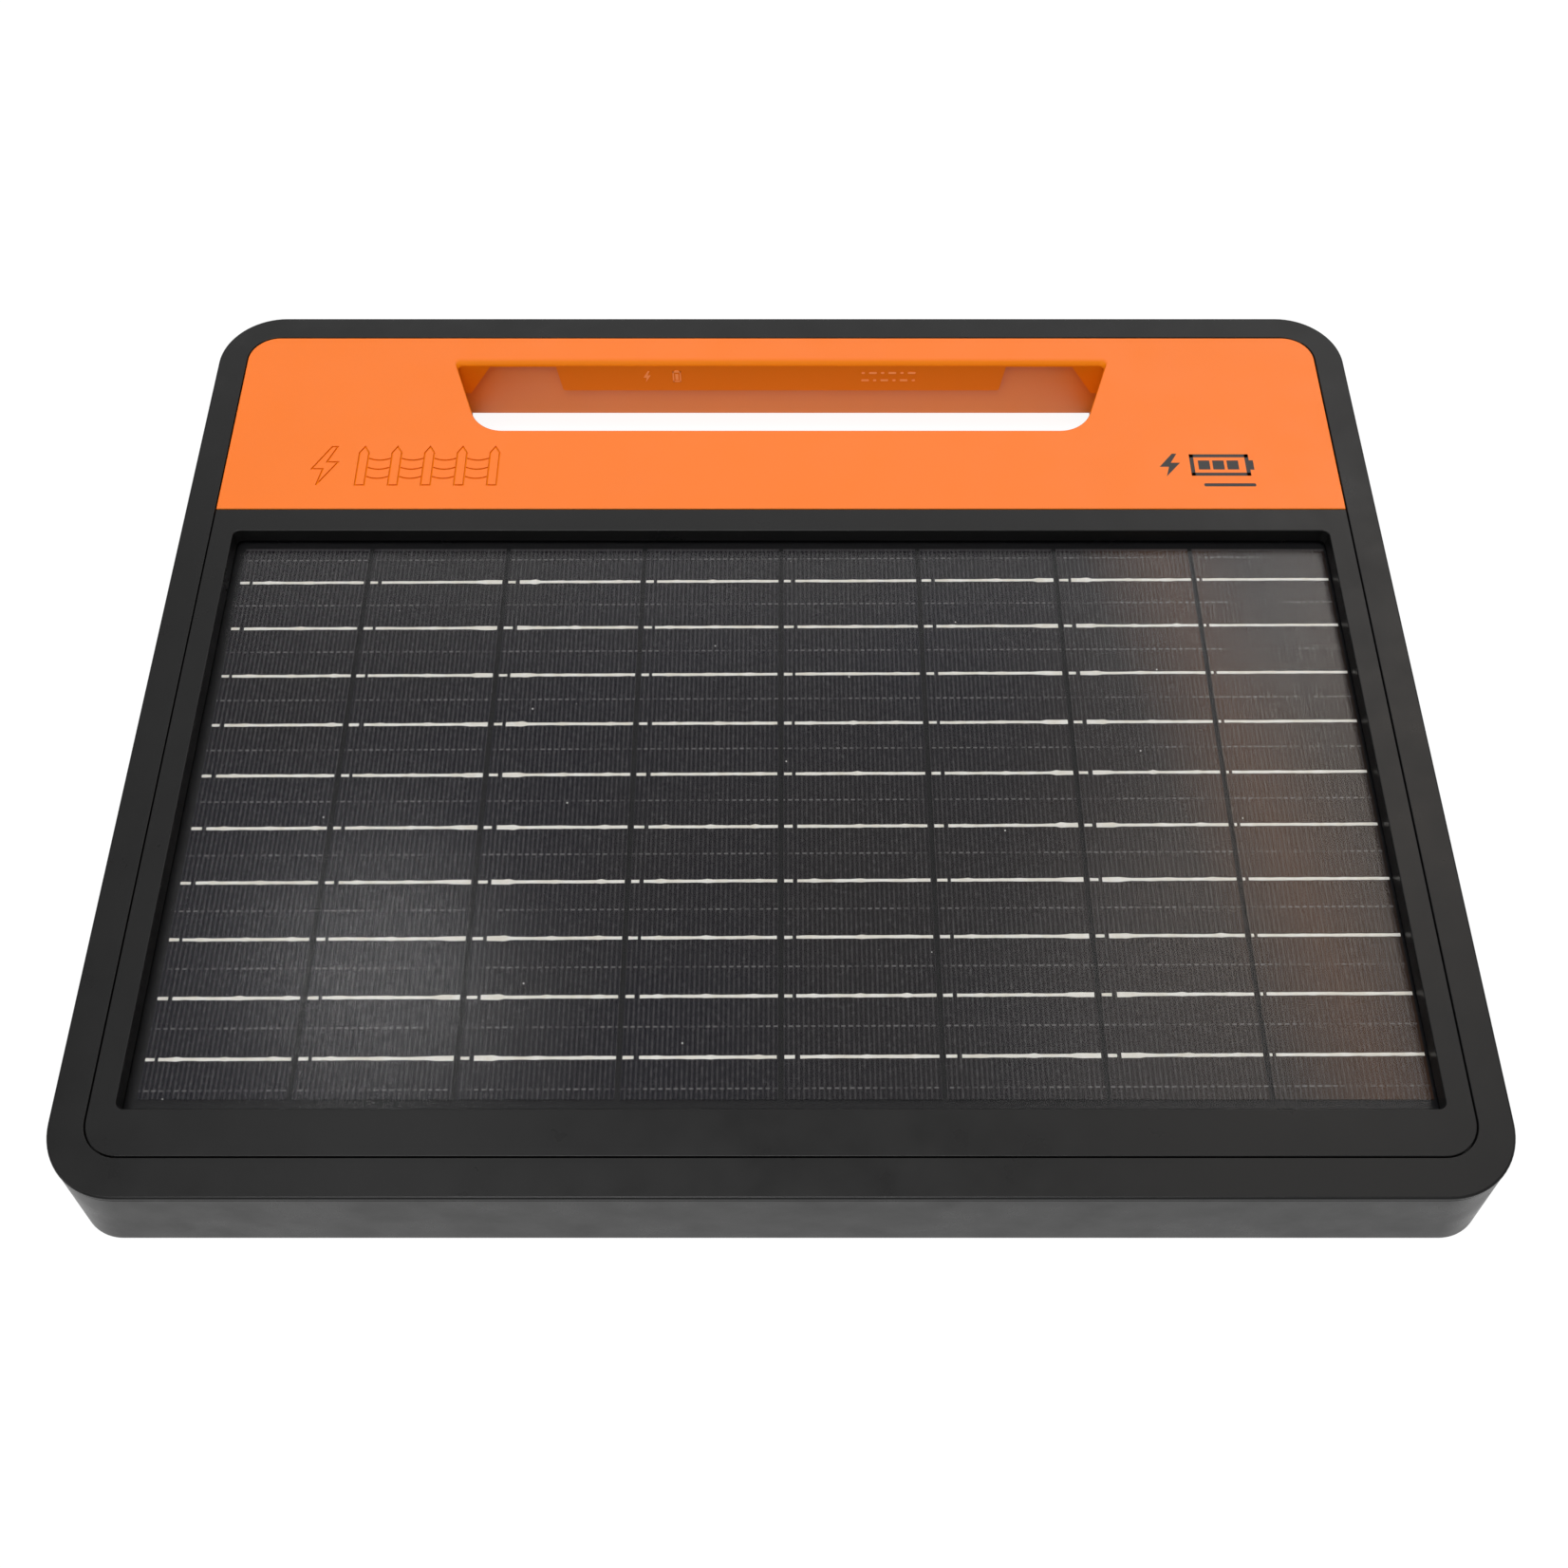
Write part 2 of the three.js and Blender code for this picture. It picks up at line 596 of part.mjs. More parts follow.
function handleCover() {
  const outer = roundedOutline(
    FACE_HALF_WIDTH - GAP,
    FACE_SEAM_Y + GAP / 2,
    FACE_FAR_Y - GAP,
    0,
    FACE_CORNER_R - GAP,
  );
  const plate = prism(outer, FACE_PLATE_Z, CASE_DEPTH);
  const skirtOuter = prism(holeOutline(HOLE_SKIRT), SKIRT_BOTTOM_Z, FACE_PLATE_Z + 0.5);
  const behindFarWall = block(-CASE_WIDTH, CASE_WIDTH, HOLE_FAR_Y - 0.01, CASE_LENGTH, 0, FACE_PLATE_Z);
  const lipRelief = block(
    -HOLE_FAR_HALF_WIDTH + 0.1,
    HOLE_FAR_HALF_WIDTH - 0.1,
    HOLE_FAR_Y - 1,
    GRIP_WALL_Y + GRIP_WALL + GAP,
    0,
    CASE_DEPTH - LIP_DEPTH,
  );
  const lining = cut(skirtOuter, behindFarWall);
  const body = join(plate, lining, ...coverScrews.map(frontBoss));
  const opened = cut(
    body,
    prism(holeOutline(0), 0, CASE_DEPTH + 1),
    lipRelief,
    ...coverScrews.map(frontScrewHole),
  );
  return join(opened, indicatorTab(), cornerGusset(-1), cornerGusset(1));
}

addPiece('handle_cover', handleCover(), MATERIALS.orangeCase);

// the back shell of the grip bar: an inner wall that the fingers meet and a floor behind it
function handleRearCover() {
  const topZ = CASE_DEPTH - LIP_DEPTH - GAP;
  const farY = CASE_LENGTH / 2 - WALL - GAP;
  const wall = block(
    -GRIP_HALF_WIDTH,
    GRIP_HALF_WIDTH,
    GRIP_WALL_Y,
    GRIP_WALL_Y + GRIP_WALL,
    GRIP_BOTTOM_Z,
    topZ,
  );
  const floor = block(
    -GRIP_HALF_WIDTH,
    GRIP_HALF_WIDTH,
    GRIP_WALL_Y,
    farY,
    GRIP_BOTTOM_Z,
    GRIP_BOTTOM_Z + GRIP_WALL,
  );
  return join(wall, floor);
}

addPiece('handle_rear_cover', handleRearCover(), MATERIALS.orangeCase);

// ---------------------------------------------------------------- indicators in the grip bar
const INDICATOR_BOARD = { halfWidth: 60, y: 139.4, z0: 12, z1: 28 };
const indicatorBoard = block(
  -INDICATOR_BOARD.halfWidth,
  INDICATOR_BOARD.halfWidth,
  INDICATOR_BOARD.y,
  INDICATOR_BOARD.y + BOARD_THICKNESS,
  INDICATOR_BOARD.z0,
  INDICATOR_BOARD.z1,
);
addPiece('indicator_board', indicatorBoard, MATERIALS.board);

function indicatorLed(x) {
  const geometry = new THREE.CylinderGeometry(1.5, 1.5, 2.4, 12);
  geometry.translate(x, INDICATOR_BOARD.y - GAP - 1.2, 26);
  return toSolid(geometry);
}

addPiece('fence_indicator_led', indicatorLed(-45), MATERIALS.led);
addPiece('battery_indicator_led', indicatorLed(-35), MATERIALS.led);

// ---------------------------------------------------------------- housing screws
function housingScrew([x, y]) {
  const headBottom = SCREW_RECESS_DEPTH - GAP - SCREW_HEAD_HEIGHT;
  const head = post(x, y, SCREW_HEAD_R, headBottom, SCREW_RECESS_DEPTH - GAP);
  const shank = post(x, y, SCREW_SHANK_R, SCREW_RECESS_DEPTH - 0.5, SCREW_TIP_Z, 12);
  const armLength = 2;
  const armHalf = 0.5;
  const slotTop = headBottom + 1.4;
  const slots = join(
    block(x - armLength, x + armLength, y - armHalf, y + armHalf, headBottom - 1, slotTop),
    block(x - armHalf, x + armHalf, y - armLength, y + armLength, headBottom - 1, slotTop),
  );
  return cut(join(head, shank), slots);
}

SCREW_PLACES.forEach((place, index) => {
  addPiece(`housing_screw_${index + 1}`, housingScrew(place), MATERIALS.steel);
});

// ---------------------------------------------------------------- terminals
// a screw knob with finger lobes, bored for the stud, its open face towards the case
function terminalKnob(side) {
  const nearX = WASHER_X + WASHER_THICKNESS + GAP;
  const outline = new THREE.Shape();
  const stepsPerLobe = 4;
  const steps = KNOB_LOBES * stepsPerLobe;
  for (let step = 0; step < steps; step += 1) {
    const angle = (2 * Math.PI * step) / steps;
    const radius = KNOB_R - 0.7 + 0.7 * Math.cos(KNOB_LOBES * angle);
    const point = [radius * Math.cos(angle), radius * Math.sin(angle)];
    if (step === 0) {
      outline.moveTo(...point);
    } else {
      outline.lineTo(...point);
    }
  }
  const collarLength = 3;
  const grip = prism(outline, collarLength, KNOB_LENGTH);
  const collar = post(0, 0, KNOB_R - 2, 0, collarLength + 0.5);
  const bore = post(0, 0, STUD_R + GAP, -1, STUD_END_X - nearX + CLAMP_OPENING + 1);
  const knob = cut(join(grip, collar), bore);
  const geometry = toGeometry(knob);
  geometry.rotateY((side * Math.PI) / 2);
  geometry.translate(side * nearX, TERMINAL_Y, TERMINAL_Z);
  return geometry;
}

function terminalStud(side) {
  const flangeX = BAY_INNER_X + GAP;
  const shank = rodAlongX(TERMINAL_Y, TERMINAL_Z, STUD_R, side * STUD_INNER_X, side * STUD_END_X);
  const flange = rodAlongX(
    TERMINAL_Y,
    TERMINAL_Z,
    STUD_FLANGE_R,
    side * flangeX,
    side * (flangeX + STUD_FLANGE_THICKNESS),
  );
  return join(shank, flange);
}

function clampWasher(side) {
  const outerX = WASHER_X + WASHER_THICKNESS;
  const disc = rodAlongX(TERMINAL_Y, TERMINAL_Z, STUD_FLANGE_R, side * WASHER_X, side * outerX);
  const bore = rodAlongX(TERMINAL_Y, TERMINAL_Z, STUD_R + GAP, side * (WASHER_X - 1), side * (outerX + 1));
  return cut(disc, bore);
}

function studNut(side) {
  const nutX = BAY_INNER_X - WALL - GAP;
  const innerX = nutX - NUT_THICKNESS;
  const hexagon = rodAlongX(TERMINAL_Y, TERMINAL_Z, NUT_R, side * innerX, side * nutX, 6);
  const bore = rodAlongX(TERMINAL_Y, TERMINAL_Z, STUD_R + GAP, side * (innerX - 1), side * (nutX + 1));
  return cut(hexagon, bore);
}

const TERMINALS = [
  { name: 'fence', side: -1, knob: MATERIALS.redKnob },
  { name: 'earth', side: 1, knob: MATERIALS.greenKnob },
];

for (const terminal of TERMINALS) {
  addPiece(`${terminal.name}_terminal_stud`, terminalStud(terminal.side), MATERIALS.steel);
  addPiece(`${terminal.name}_stud_nut`, studNut(terminal.side), MATERIALS.steel);
  addPiece(`${terminal.name}_clamp_washer`, clampWasher(terminal.side), MATERIALS.steel);
  addPiece(`${terminal.name}_terminal_knob`, terminalKnob(terminal.side), terminal.knob);
}

// ---------------------------------------------------------------- power button and switch
function powerButton() {
  const flangeZ = BUTTON_BOSS_TOP_Z + GAP;
  const stemZ = flangeZ + BUTTON_FLANGE_THICKNESS;
  const cap = post(BUTTON_X, BUTTON_Y, BUTTON_R, BUTTON_FACE_Z, flangeZ + 0.5, WIDE_ROUND_STEPS);
  const flange = post(BUTTON_X, BUTTON_Y, BUTTON_FLANGE_R, flangeZ, stemZ, WIDE_ROUND_STEPS);
  const stem = post(BUTTON_X, BUTTON_Y, BUTTON_STEM_R, stemZ - 0.5, BUTTON_STEM_END_Z, 12);
  return join(cap, flange, stem);
}

addPiece('power_button', powerButton(), MATERIALS.rubber);

class SpringCurve extends THREE.Curve {
  constructor(z0, z1) {
    super();
    this.z0 = z0;
    this.z1 = z1;
  }

  getPoint(t, target = new THREE.Vector3()) {
    const angle = 2 * Math.PI * SPRING_TURNS * t;
    return target.set(
      BUTTON_X + SPRING_R * Math.cos(angle),
      BUTTON_Y + SPRING_R * Math.sin(angle),
      this.z0 + (this.z1 - this.z0) * t,
    );
  }
}

function circleShape(radius, sides) {
  const shape = new THREE.Shape();
  for (let side = 0; side < sides; side += 1) {
    const angle = (2 * Math.PI * side) / sides;
    const point = [radius * Math.cos(angle), radius * Math.sin(angle)];
    if (side === 0) {
      shape.moveTo(...point);
    } else {
      shape.lineTo(...point);
    }
  }
  return shape;
}

const springBottomZ = BUTTON_BOSS_TOP_Z + GAP + BUTTON_FLANGE_THICKNESS + GAP + SPRING_WIRE_R + 0.2;
const springTopZ = SWITCH_BOARD_Z - GAP - SPRING_WIRE_R - 0.2;
const buttonSpring = new THREE.ExtrudeGeometry(circleShape(SPRING_WIRE_R, 6), {
  steps: SPRING_TURNS * 10,
  bevelEnabled: false,
  extrudePath: new SpringCurve(springBottomZ, springTopZ),
});
addPiece('button_spring', buttonSpring, MATERIALS.steel);

const switchTopZ = SWITCH_BOARD_Z - GAP;
const switchBottomZ = switchTopZ - SWITCH_HEIGHT;
const powerSwitch = join(
  block(
    BUTTON_X - SWITCH_SIZE / 2,
    BUTTON_X + SWITCH_SIZE / 2,
    BUTTON_Y - SWITCH_SIZE / 2,
    BUTTON_Y + SWITCH_SIZE / 2,
    switchBottomZ,
    switchTopZ,
  ),
  post(BUTTON_X, BUTTON_Y, 1.4, switchBottomZ - 0.2, switchBottomZ + 0.5, 12),
);
addPiece('power_switch', powerSwitch, MATERIALS.chip);

const switchBoard = block(
  BUTTON_X - SWITCH_BOARD_SIZE / 2,
  BUTTON_X + SWITCH_BOARD_SIZE / 2,
  BUTTON_Y - SWITCH_BOARD_SIZE / 2,
  BUTTON_Y + SWITCH_BOARD_SIZE / 2,
  SWITCH_BOARD_Z,
  SWITCH_BOARD_Z + BOARD_THICKNESS,
);
addPiece('switch_board', switchBoard, MATERIALS.board);

// ---------------------------------------------------------------- pressure vent
const ventCap = post(VENT_X, VENT_Y, VENT_CAP_R, 0.3, 1.2);
const ventStem = post(VENT_X, VENT_Y, VENT_STEM_R, 1, 6, 16);
addPiece('pressure_vent', join(ventCap, ventStem), MATERIALS.rubber);

// ---------------------------------------------------------------- battery
const cradleFloorZ = WALL + GAP;
const cradleHalfX = BATTERY_CELL_LENGTH / 2 + GAP + CRADLE_WALL;
const cradleHalfY = (BATTERY_CELL_COUNT * BATTERY_PITCH) / 2 + CRADLE_WALL;

function batteryCradle() {
  const outer = block(
    BATTERY_CENTRE_X - cradleHalfX,
    BATTERY_CENTRE_X + cradleHalfX,
    BATTERY_CENTRE_Y - cradleHalfY,
    BATTERY_CENTRE_Y + cradleHalfY,
    cradleFloorZ,
    CRADLE_TOP_Z,
  );
  const pocket = block(
    BATTERY_CENTRE_X - cradleHalfX + CRADLE_WALL,
    BATTERY_CENTRE_X + cradleHalfX - CRADLE_WALL,
    BATTERY_CENTRE_Y - cradleHalfY + CRADLE_WALL,
    BATTERY_CENTRE_Y + cradleHalfY - CRADLE_WALL,
    cradleFloorZ + 1,
    CRADLE_TOP_Z + 1,
  );
  return cut(outer, pocket);
}

addPiece('battery_cradle', batteryCradle(), MATERIALS.cradle);

for (let index = 0; index < BATTERY_CELL_COUNT; index += 1) {
  const y = BATTERY_CENTRE_Y + (index - (BATTERY_CELL_COUNT - 1) / 2) * BATTERY_PITCH;
  const halfLength = BATTERY_CELL_LENGTH / 2;
  const can = rodAlongX(
    y,
    BATTERY_AXIS_Z,
    BATTERY_CELL_R,
    BATTERY_CENTRE_X - halfLength,
    BATTERY_CENTRE_X + halfLength,
  );
  addPiece(`battery_cell_${index + 1}`, can, MATERIALS.battery);
}

// ---------------------------------------------------------------- main circuit board
const mainBoard = block(
  BOARD_CENTRE[0] - BOARD_SIZE[0] / 2,
  BOARD_CENTRE[0] + BOARD_SIZE[0] / 2,
  BOARD_CENTRE[1] - BOARD_SIZE[1] / 2,
  BOARD_CENTRE[1] + BOARD_SIZE[1] / 2,
  BOARD_Z,
  BOARD_Z + BOARD_THICKNESS,
);
addPiece('circuit_board', mainBoard, MATERIALS.board);

const onBoardZ = BOARD_Z + BOARD_THICKNESS + GAP;

function boardPart(x, y, width, length, height) {
  return block(x - width / 2, x + width / 2, y - length / 2, y + length / 2, onBoardZ, onBoardZ + height);
}

addPiece('energy_capacitor', boardPart(-84, -24, 32, 20, 12), MATERIALS.capacitor);
addPiece('control_chip', boardPart(-42, 8, 14, 14, 1.6), MATERIALS.chip);

// ---------------------------------------------------------------- pulse transformer
function transformerCore() {
  const [x, y] = TRANSFORMER_CENTRE;
  const [width, length, height] = CORE_SIZE;
  const z0 = WALL + GAP + WINDING_DEPTH + GAP;
  const frame = block(x - width / 2, x + width / 2, y - length / 2, y + length / 2, z0, z0 + height);
  const windows = [-1, 1].map((side) => {
    const windowX = x + side * (CORE_MIDDLE_LEG / 2 + CORE_WINDOW[0] / 2);
    return block(
      windowX - CORE_WINDOW[0] / 2,
      windowX + CORE_WINDOW[0] / 2,
      y - CORE_WINDOW[1] / 2,
      y + CORE_WINDOW[1] / 2,
      z0 - 1,
      z0 + height + 1,
    );
  });
  return cut(frame, ...windows);
}

function transformerWinding() {
  const [x, y] = TRANSFORMER_CENTRE;
  const innerHalf = CORE_MIDDLE_LEG / 2 + GAP;
  const outerHalf = CORE_MIDDLE_LEG / 2 + CORE_WINDOW[0] - GAP;
  const halfLength = CORE_WINDOW[1] / 2 - GAP;
  const z0 = WALL + GAP;
  const z1 = z0 + 2 * (WINDING_DEPTH + GAP) + CORE_SIZE[2];
  const outer = block(x - outerHalf, x + outerHalf, y - halfLength, y + halfLength, z0, z1);
  const inner = block(
    x - innerHalf,
    x + innerHalf,
    y - halfLength - 1,
    y + halfLength + 1,
    z0 + WINDING_DEPTH,
    z1 - WINDING_DEPTH,
  );
  return cut(outer, inner);
}

addPiece('pulse_transformer_core', transformerCore(), MATERIALS.ferrite);
addPiece('pulse_transformer_winding', transformerWinding(), MATERIALS.copper);

// ---------------------------------------------------------------- internal leads
// a round wire along a smooth curve through a few points
function lead(points, radius = LEAD_R, steps = 12) {
  const path = new THREE.CatmullRomCurve3(points.map((point) => new THREE.Vector3(...point)));
  return new THREE.ExtrudeGeometry(circleShape(radius, 6), { steps, bevelEnabled: false, extrudePath: path });
}

const boardRight = BOARD_CENTRE[0] + BOARD_SIZE[0] / 2;
const boardFar = BOARD_CENTRE[1] + BOARD_SIZE[1] / 2;
const cradleLeft = BATTERY_CENTRE_X - cradleHalfX;

for (const [name, y, material] of [
  ['battery_lead_red', 4, MATERIALS.redWire],
  ['battery_lead_black', -4, MATERIALS.blackWire],
]) {
  const z = BOARD_Z + BOARD_THICKNESS / 2;
  const route = [
    [boardRight + 0.5, y, z],
    [boardRight + 12, y + 1, z - 2],
    [cradleLeft - 12, y - 1, z - 1],
    [cradleLeft - 0.5, y, z],
  ];
  addPiece(name, lead(route), material);
}

for (const [name, y, material] of [
  ['panel_lead_red', JUNCTION_BOX.y + 3, MATERIALS.redWire],
  ['panel_lead_black', JUNCTION_BOX.y - 3, MATERIALS.blackWire],
]) {
  const startX = JUNCTION_BOX.x - JUNCTION_BOX.size / 2 - 0.5;
  const endX = y > JUNCTION_BOX.y ? -62 : -54;
  const route = [
    [startX, y, 18],
    [startX - 10, y, 17],
    [endX, y - 1, 12],
    [endX, boardFar + 1.5, BOARD_Z + BOARD_THICKNESS / 2],
  ];
  addPiece(name, lead(route), material);
}

const boardNear = BOARD_CENTRE[1] - BOARD_SIZE[1] / 2;
for (const terminal of TERMINALS) {
  const startX = TRANSFORMER_CENTRE[0] + terminal.side * (CORE_SIZE[0] / 2 + 0.5);
  const endX = terminal.side * (STUD_INNER_X - 0.5);
  const route = [
    [startX, TRANSFORMER_CENTRE[1], 11],
    [startX + terminal.side * 20, TRANSFORMER_CENTRE[1] - 3, 9],
    [endX - terminal.side * 22, TERMINAL_Y + 2, 8],
    [endX, TERMINAL_Y, TERMINAL_Z],
  ];
  addPiece(`${terminal.name}_output_lead`, lead(route, 1.4), MATERIALS.whiteWire);
}

// cables that pass beside the hand hole to the indicators and to the power switch
const switchCableRoute = [
  [boardRight - 12, boardFar + 1.5, BOARD_Z + BOARD_THICKNESS / 2],
  [-4, 44, 12],
  [20, 56, 12],
  [80, 68, 8],
  [118, 84, 8],
  [BUTTON_X - SWITCH_BOARD_SIZE / 2 - 1, BUTTON_Y - 8, SWITCH_BOARD_Z + BOARD_THICKNESS / 2],
];
addPiece('switch_cable', lead(switchCableRoute, 1.2, 22), MATERIALS.blackWire);

const indicatorCableRoute = [
  [BOARD_CENTRE[0] - 30, boardFar + 1.5, BOARD_Z + BOARD_THICKNESS / 2],
  [-100, 62, 6],
  [-120, 96, 8],
  [-118, 128, 14],
  [-104, 141, 20],
  [-INDICATOR_BOARD.halfWidth - 1.2, INDICATOR_BOARD.y + BOARD_THICKNESS / 2, 20],
];
addPiece('indicator_cable', lead(indicatorCableRoute, 1.2, 24), MATERIALS.blackWire);

export default energizer;
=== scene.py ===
import json
import math
import random

import bpy
from mathutils import Matrix, Vector


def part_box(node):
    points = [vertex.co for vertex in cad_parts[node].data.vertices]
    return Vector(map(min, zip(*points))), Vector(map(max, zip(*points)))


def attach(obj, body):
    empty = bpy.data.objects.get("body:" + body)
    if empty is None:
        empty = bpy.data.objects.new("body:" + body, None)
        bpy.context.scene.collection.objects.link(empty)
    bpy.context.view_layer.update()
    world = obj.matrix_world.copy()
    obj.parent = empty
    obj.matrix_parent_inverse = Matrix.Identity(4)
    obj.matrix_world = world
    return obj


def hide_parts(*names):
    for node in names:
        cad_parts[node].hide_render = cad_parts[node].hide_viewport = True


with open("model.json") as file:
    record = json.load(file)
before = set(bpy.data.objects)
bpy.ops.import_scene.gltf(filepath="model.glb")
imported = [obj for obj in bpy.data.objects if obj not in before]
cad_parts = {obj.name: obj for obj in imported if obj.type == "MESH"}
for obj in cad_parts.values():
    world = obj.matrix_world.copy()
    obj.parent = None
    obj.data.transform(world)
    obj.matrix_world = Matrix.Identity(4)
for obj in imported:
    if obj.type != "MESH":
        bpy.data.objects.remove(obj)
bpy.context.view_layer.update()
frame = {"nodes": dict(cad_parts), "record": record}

# A solar fence energizer that lies on its back: +Z is out of the panel, +Y is towards the handle.
# Sizes are in millimetres and become metres where a mesh is made.
MM = 0.001
ROOT = "energizer"


def node_box(name):
    """Lowest and highest corner of a CAD node, in millimetres."""
    low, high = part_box(name)
    return low / MM, high / MM


# ---------- sizes
case_high = node_box("rear_housing")[1]
rim_low, rim_high = node_box("front_rim")
glass_high = node_box("panel_glass")[1]
grip_low, grip_high = node_box("handle_rear_cover")

CASE_HALF_WIDTH = case_high.x
CASE_HALF_LENGTH = case_high.y
CASE_CORNER_R = 20
CASE_BACK_CORNER_R = 12.5
CASE_WALL = 2.5
CASE_FOOT_ROUND = 0.9
FRONT_Z = rim_high.z
TUB_TOP_Z = case_high.z
RIM_UNDER_Z = TUB_TOP_Z + 0.3
PARTING_Z = FRONT_Z - 1.05
PARTING_GAP = 0.4
PARTING_DEPTH = 0.55

FACE_HALF_WIDTH = 178.2
FACE_NEAR_Y = -141.8
FACE_FAR_Y = 143.5
FACE_CORNER_R = 10
FACE_GAP = 0.3
FACE_SEAM = 0.36
SEAM_Y = 69.2
SEAM_CORNER_R = 0.3
PLATE_Z = FRONT_Z - 2.4

WINDOW_HALF_WIDTH = 171
WINDOW_NEAR_Y = -128.8
WINDOW_FAR_Y = 60.5
WINDOW_CORNER_R = 2

HOLE_NEAR_Y = 102.1
HOLE_FAR_Y = 131.5
HOLE_NEAR_HALF_WIDTH = 98.45
HOLE_FAR_HALF_WIDTH = 108.3
HOLE_CORNER_R = 11
HOLE_FAR_CORNER_R = 1.5
LINING = 2.2
LINING_BOTTOM_Z = 10.6
LIP_ROUND_Y = 3.0
LIP_ROUND_Z = 1.5
TAB_HALF_WIDTH = 75.2
TAB_TAPER = 1.3
TAB_BOTTOM_Z = FRONT_Z - 12.7
TAB_THICKNESS = 1.2
GUSSET_WIDTH = 12.5
GUSSET_DEPTH = 14
MARK_DEPTH = 0.6

BAY_NEAR_Y = -122
BAY_FAR_Y = -82
BAY_CEILING_Z = 20
BAY_INNER_X = 150
BAY_CORNER_R = 4

RELIEF_NEAR_Y = -64
LABEL_FAR_Y = -14
LABEL_HALF_WIDTH = 58
LABEL_CORNER_R = 4
GROOVE_FAR_Y = 46
GROOVE_HALF_WIDTH = 1.5
GROOVE_COUNT = 7
GROOVE_PITCH = 10
FIRST_GROOVE_X = 84

STUD_R = 3
STUD_FLANGE_R = 7
KNOB_R = 8.5
KNOB_LOBES = 8
KNOB_LOBE_DEPTH = 1.4
KNOB_COLLAR = 3
KNOB_BORE = 14.6

BUTTON = Vector((142, 104, 0))
BUTTON_R = 7
BUTTON_DISH_R = 13
BUTTON_DISH_DEPTH = 1.2
VENT = Vector((-142, 104, 0))
VENT_R = 6
SCREW_NAMES = [f"housing_screw_{index}" for index in range(1, 9)]
SCREW_HEAD_R = 3.4
SCREW_RECESS_DEPTH = 3.2
SCREW_BOSS_TOP_Z = 23.7
SCREW_POST_BOTTOM_Z = 24
SCREW_POST_R = 3.5
KEYHOLE_ENTRY_YS = (58, -118)
KEYHOLE_ENTRY_R = 5.5
KEYHOLE_SLOT_R = 2.8
KEYHOLE_RISE = 15
KEYHOLE_POCKET_Z = 7.6
KEYHOLE_POCKET_R = 6.4

CELL_NAMES = [f"solar_cell_{index}" for index in range(1, 9)]
cell_low_y = node_box(CELL_NAMES[0])[0].y
cell_high_y = node_box(CELL_NAMES[0])[1].y
FINGER_PITCH = 1.34
FIRST_BUSBAR = 11.8
BUSBAR_COUNT = 10
BUSBAR_PITCH = 17.51
PANEL_SKEW = 0.0046
RIBBON_WIDTH = 0.95
RIBBON_THICKNESS = 0.14
JOINED_AT_END = (1, 5)
JOINED_AT_START = (2, 6)


# ---------- camera, lights and floor
TENT_TOP = 0.46
TENT_HORIZON = 0.1
FLOOR_GLOW = 0.93


def look(obj, target):
    direction = Vector(target) - obj.location
    obj.rotation_euler = direction.to_track_quat("-Z", "Y").to_euler()


def make_camera():
    data = bpy.data.cameras.new("camera")
    data.lens = 40.09
    data.sensor_width = 36
    data.shift_x = 0.0019
    data.clip_start = 0.01
    data.clip_end = 20
    camera = bpy.data.objects.new("camera", data)
    bpy.context.scene.collection.objects.link(camera)
    camera.location = (0, (-CASE_HALF_LENGTH - 134.9) * MM, (FRONT_Z + 427.2) * MM)
    camera.rotation_euler = (math.radians(90 - 59.10), 0, 0)
    bpy.context.scene.camera = camera


def soft_box(name, location, target, size, power, colour=(1, 1, 1)):
    data = bpy.data.lights.new(name, "AREA")
    data.shape = "RECTANGLE"
    data.size = size[0]
    data.size_y = size[1]
    data.energy = power
    data.color = colour
    light = bpy.data.objects.new(name, data)
    bpy.context.scene.collection.objects.link(light)
    light.location = location
    look(light, target)


def make_world():
    """A soft tent: bright overhead and dim at the horizon."""
    world = bpy.data.worlds.new("studio")
    world.use_nodes = True
    tree = world.node_tree
    split = tree.nodes.new("ShaderNodeSeparateXYZ")
    tree.links.new(tree.nodes.new("ShaderNodeTexCoord").outputs["Generated"], split.inputs[0])
    strength = remap(tree, split.outputs[2], 0.15, 0.6, TENT_HORIZON, TENT_TOP)
    background = tree.nodes["Background"]
    background.inputs["Color"].default_value = (1, 1, 1, 1)
    tree.links.new(strength, background.inputs["Strength"])
    bpy.context.scene.world = world


def make_floor():
    """White paper lit from below, so that it stays white and takes only a faint shadow."""
    size = 6
    level = -0.2 * MM
    mesh = bpy.data.meshes.new("floor")
    corners = [(-size, -size, level), (size, -size, level), (size, size, level), (-size, size, level)]
    mesh.from_pydata(corners, [], [(0, 1, 2, 3)])
    floor = bpy.data.objects.new("floor", mesh)
    bpy.context.scene.collection.objects.link(floor)
    material, tree, shader = new_material("floor_paper")
    shader.inputs["Base Color"].default_value = (0.12, 0.12, 0.12, 1)
    shader.inputs["Roughness"].default_value = 0.9
    shader.inputs["Specular IOR Level"].default_value = 0
    shader.inputs["Emission Color"].default_value = (1, 1, 1, 1)
    shader.inputs["Emission Strength"].default_value = FLOOR_GLOW
    mesh.materials.append(material)


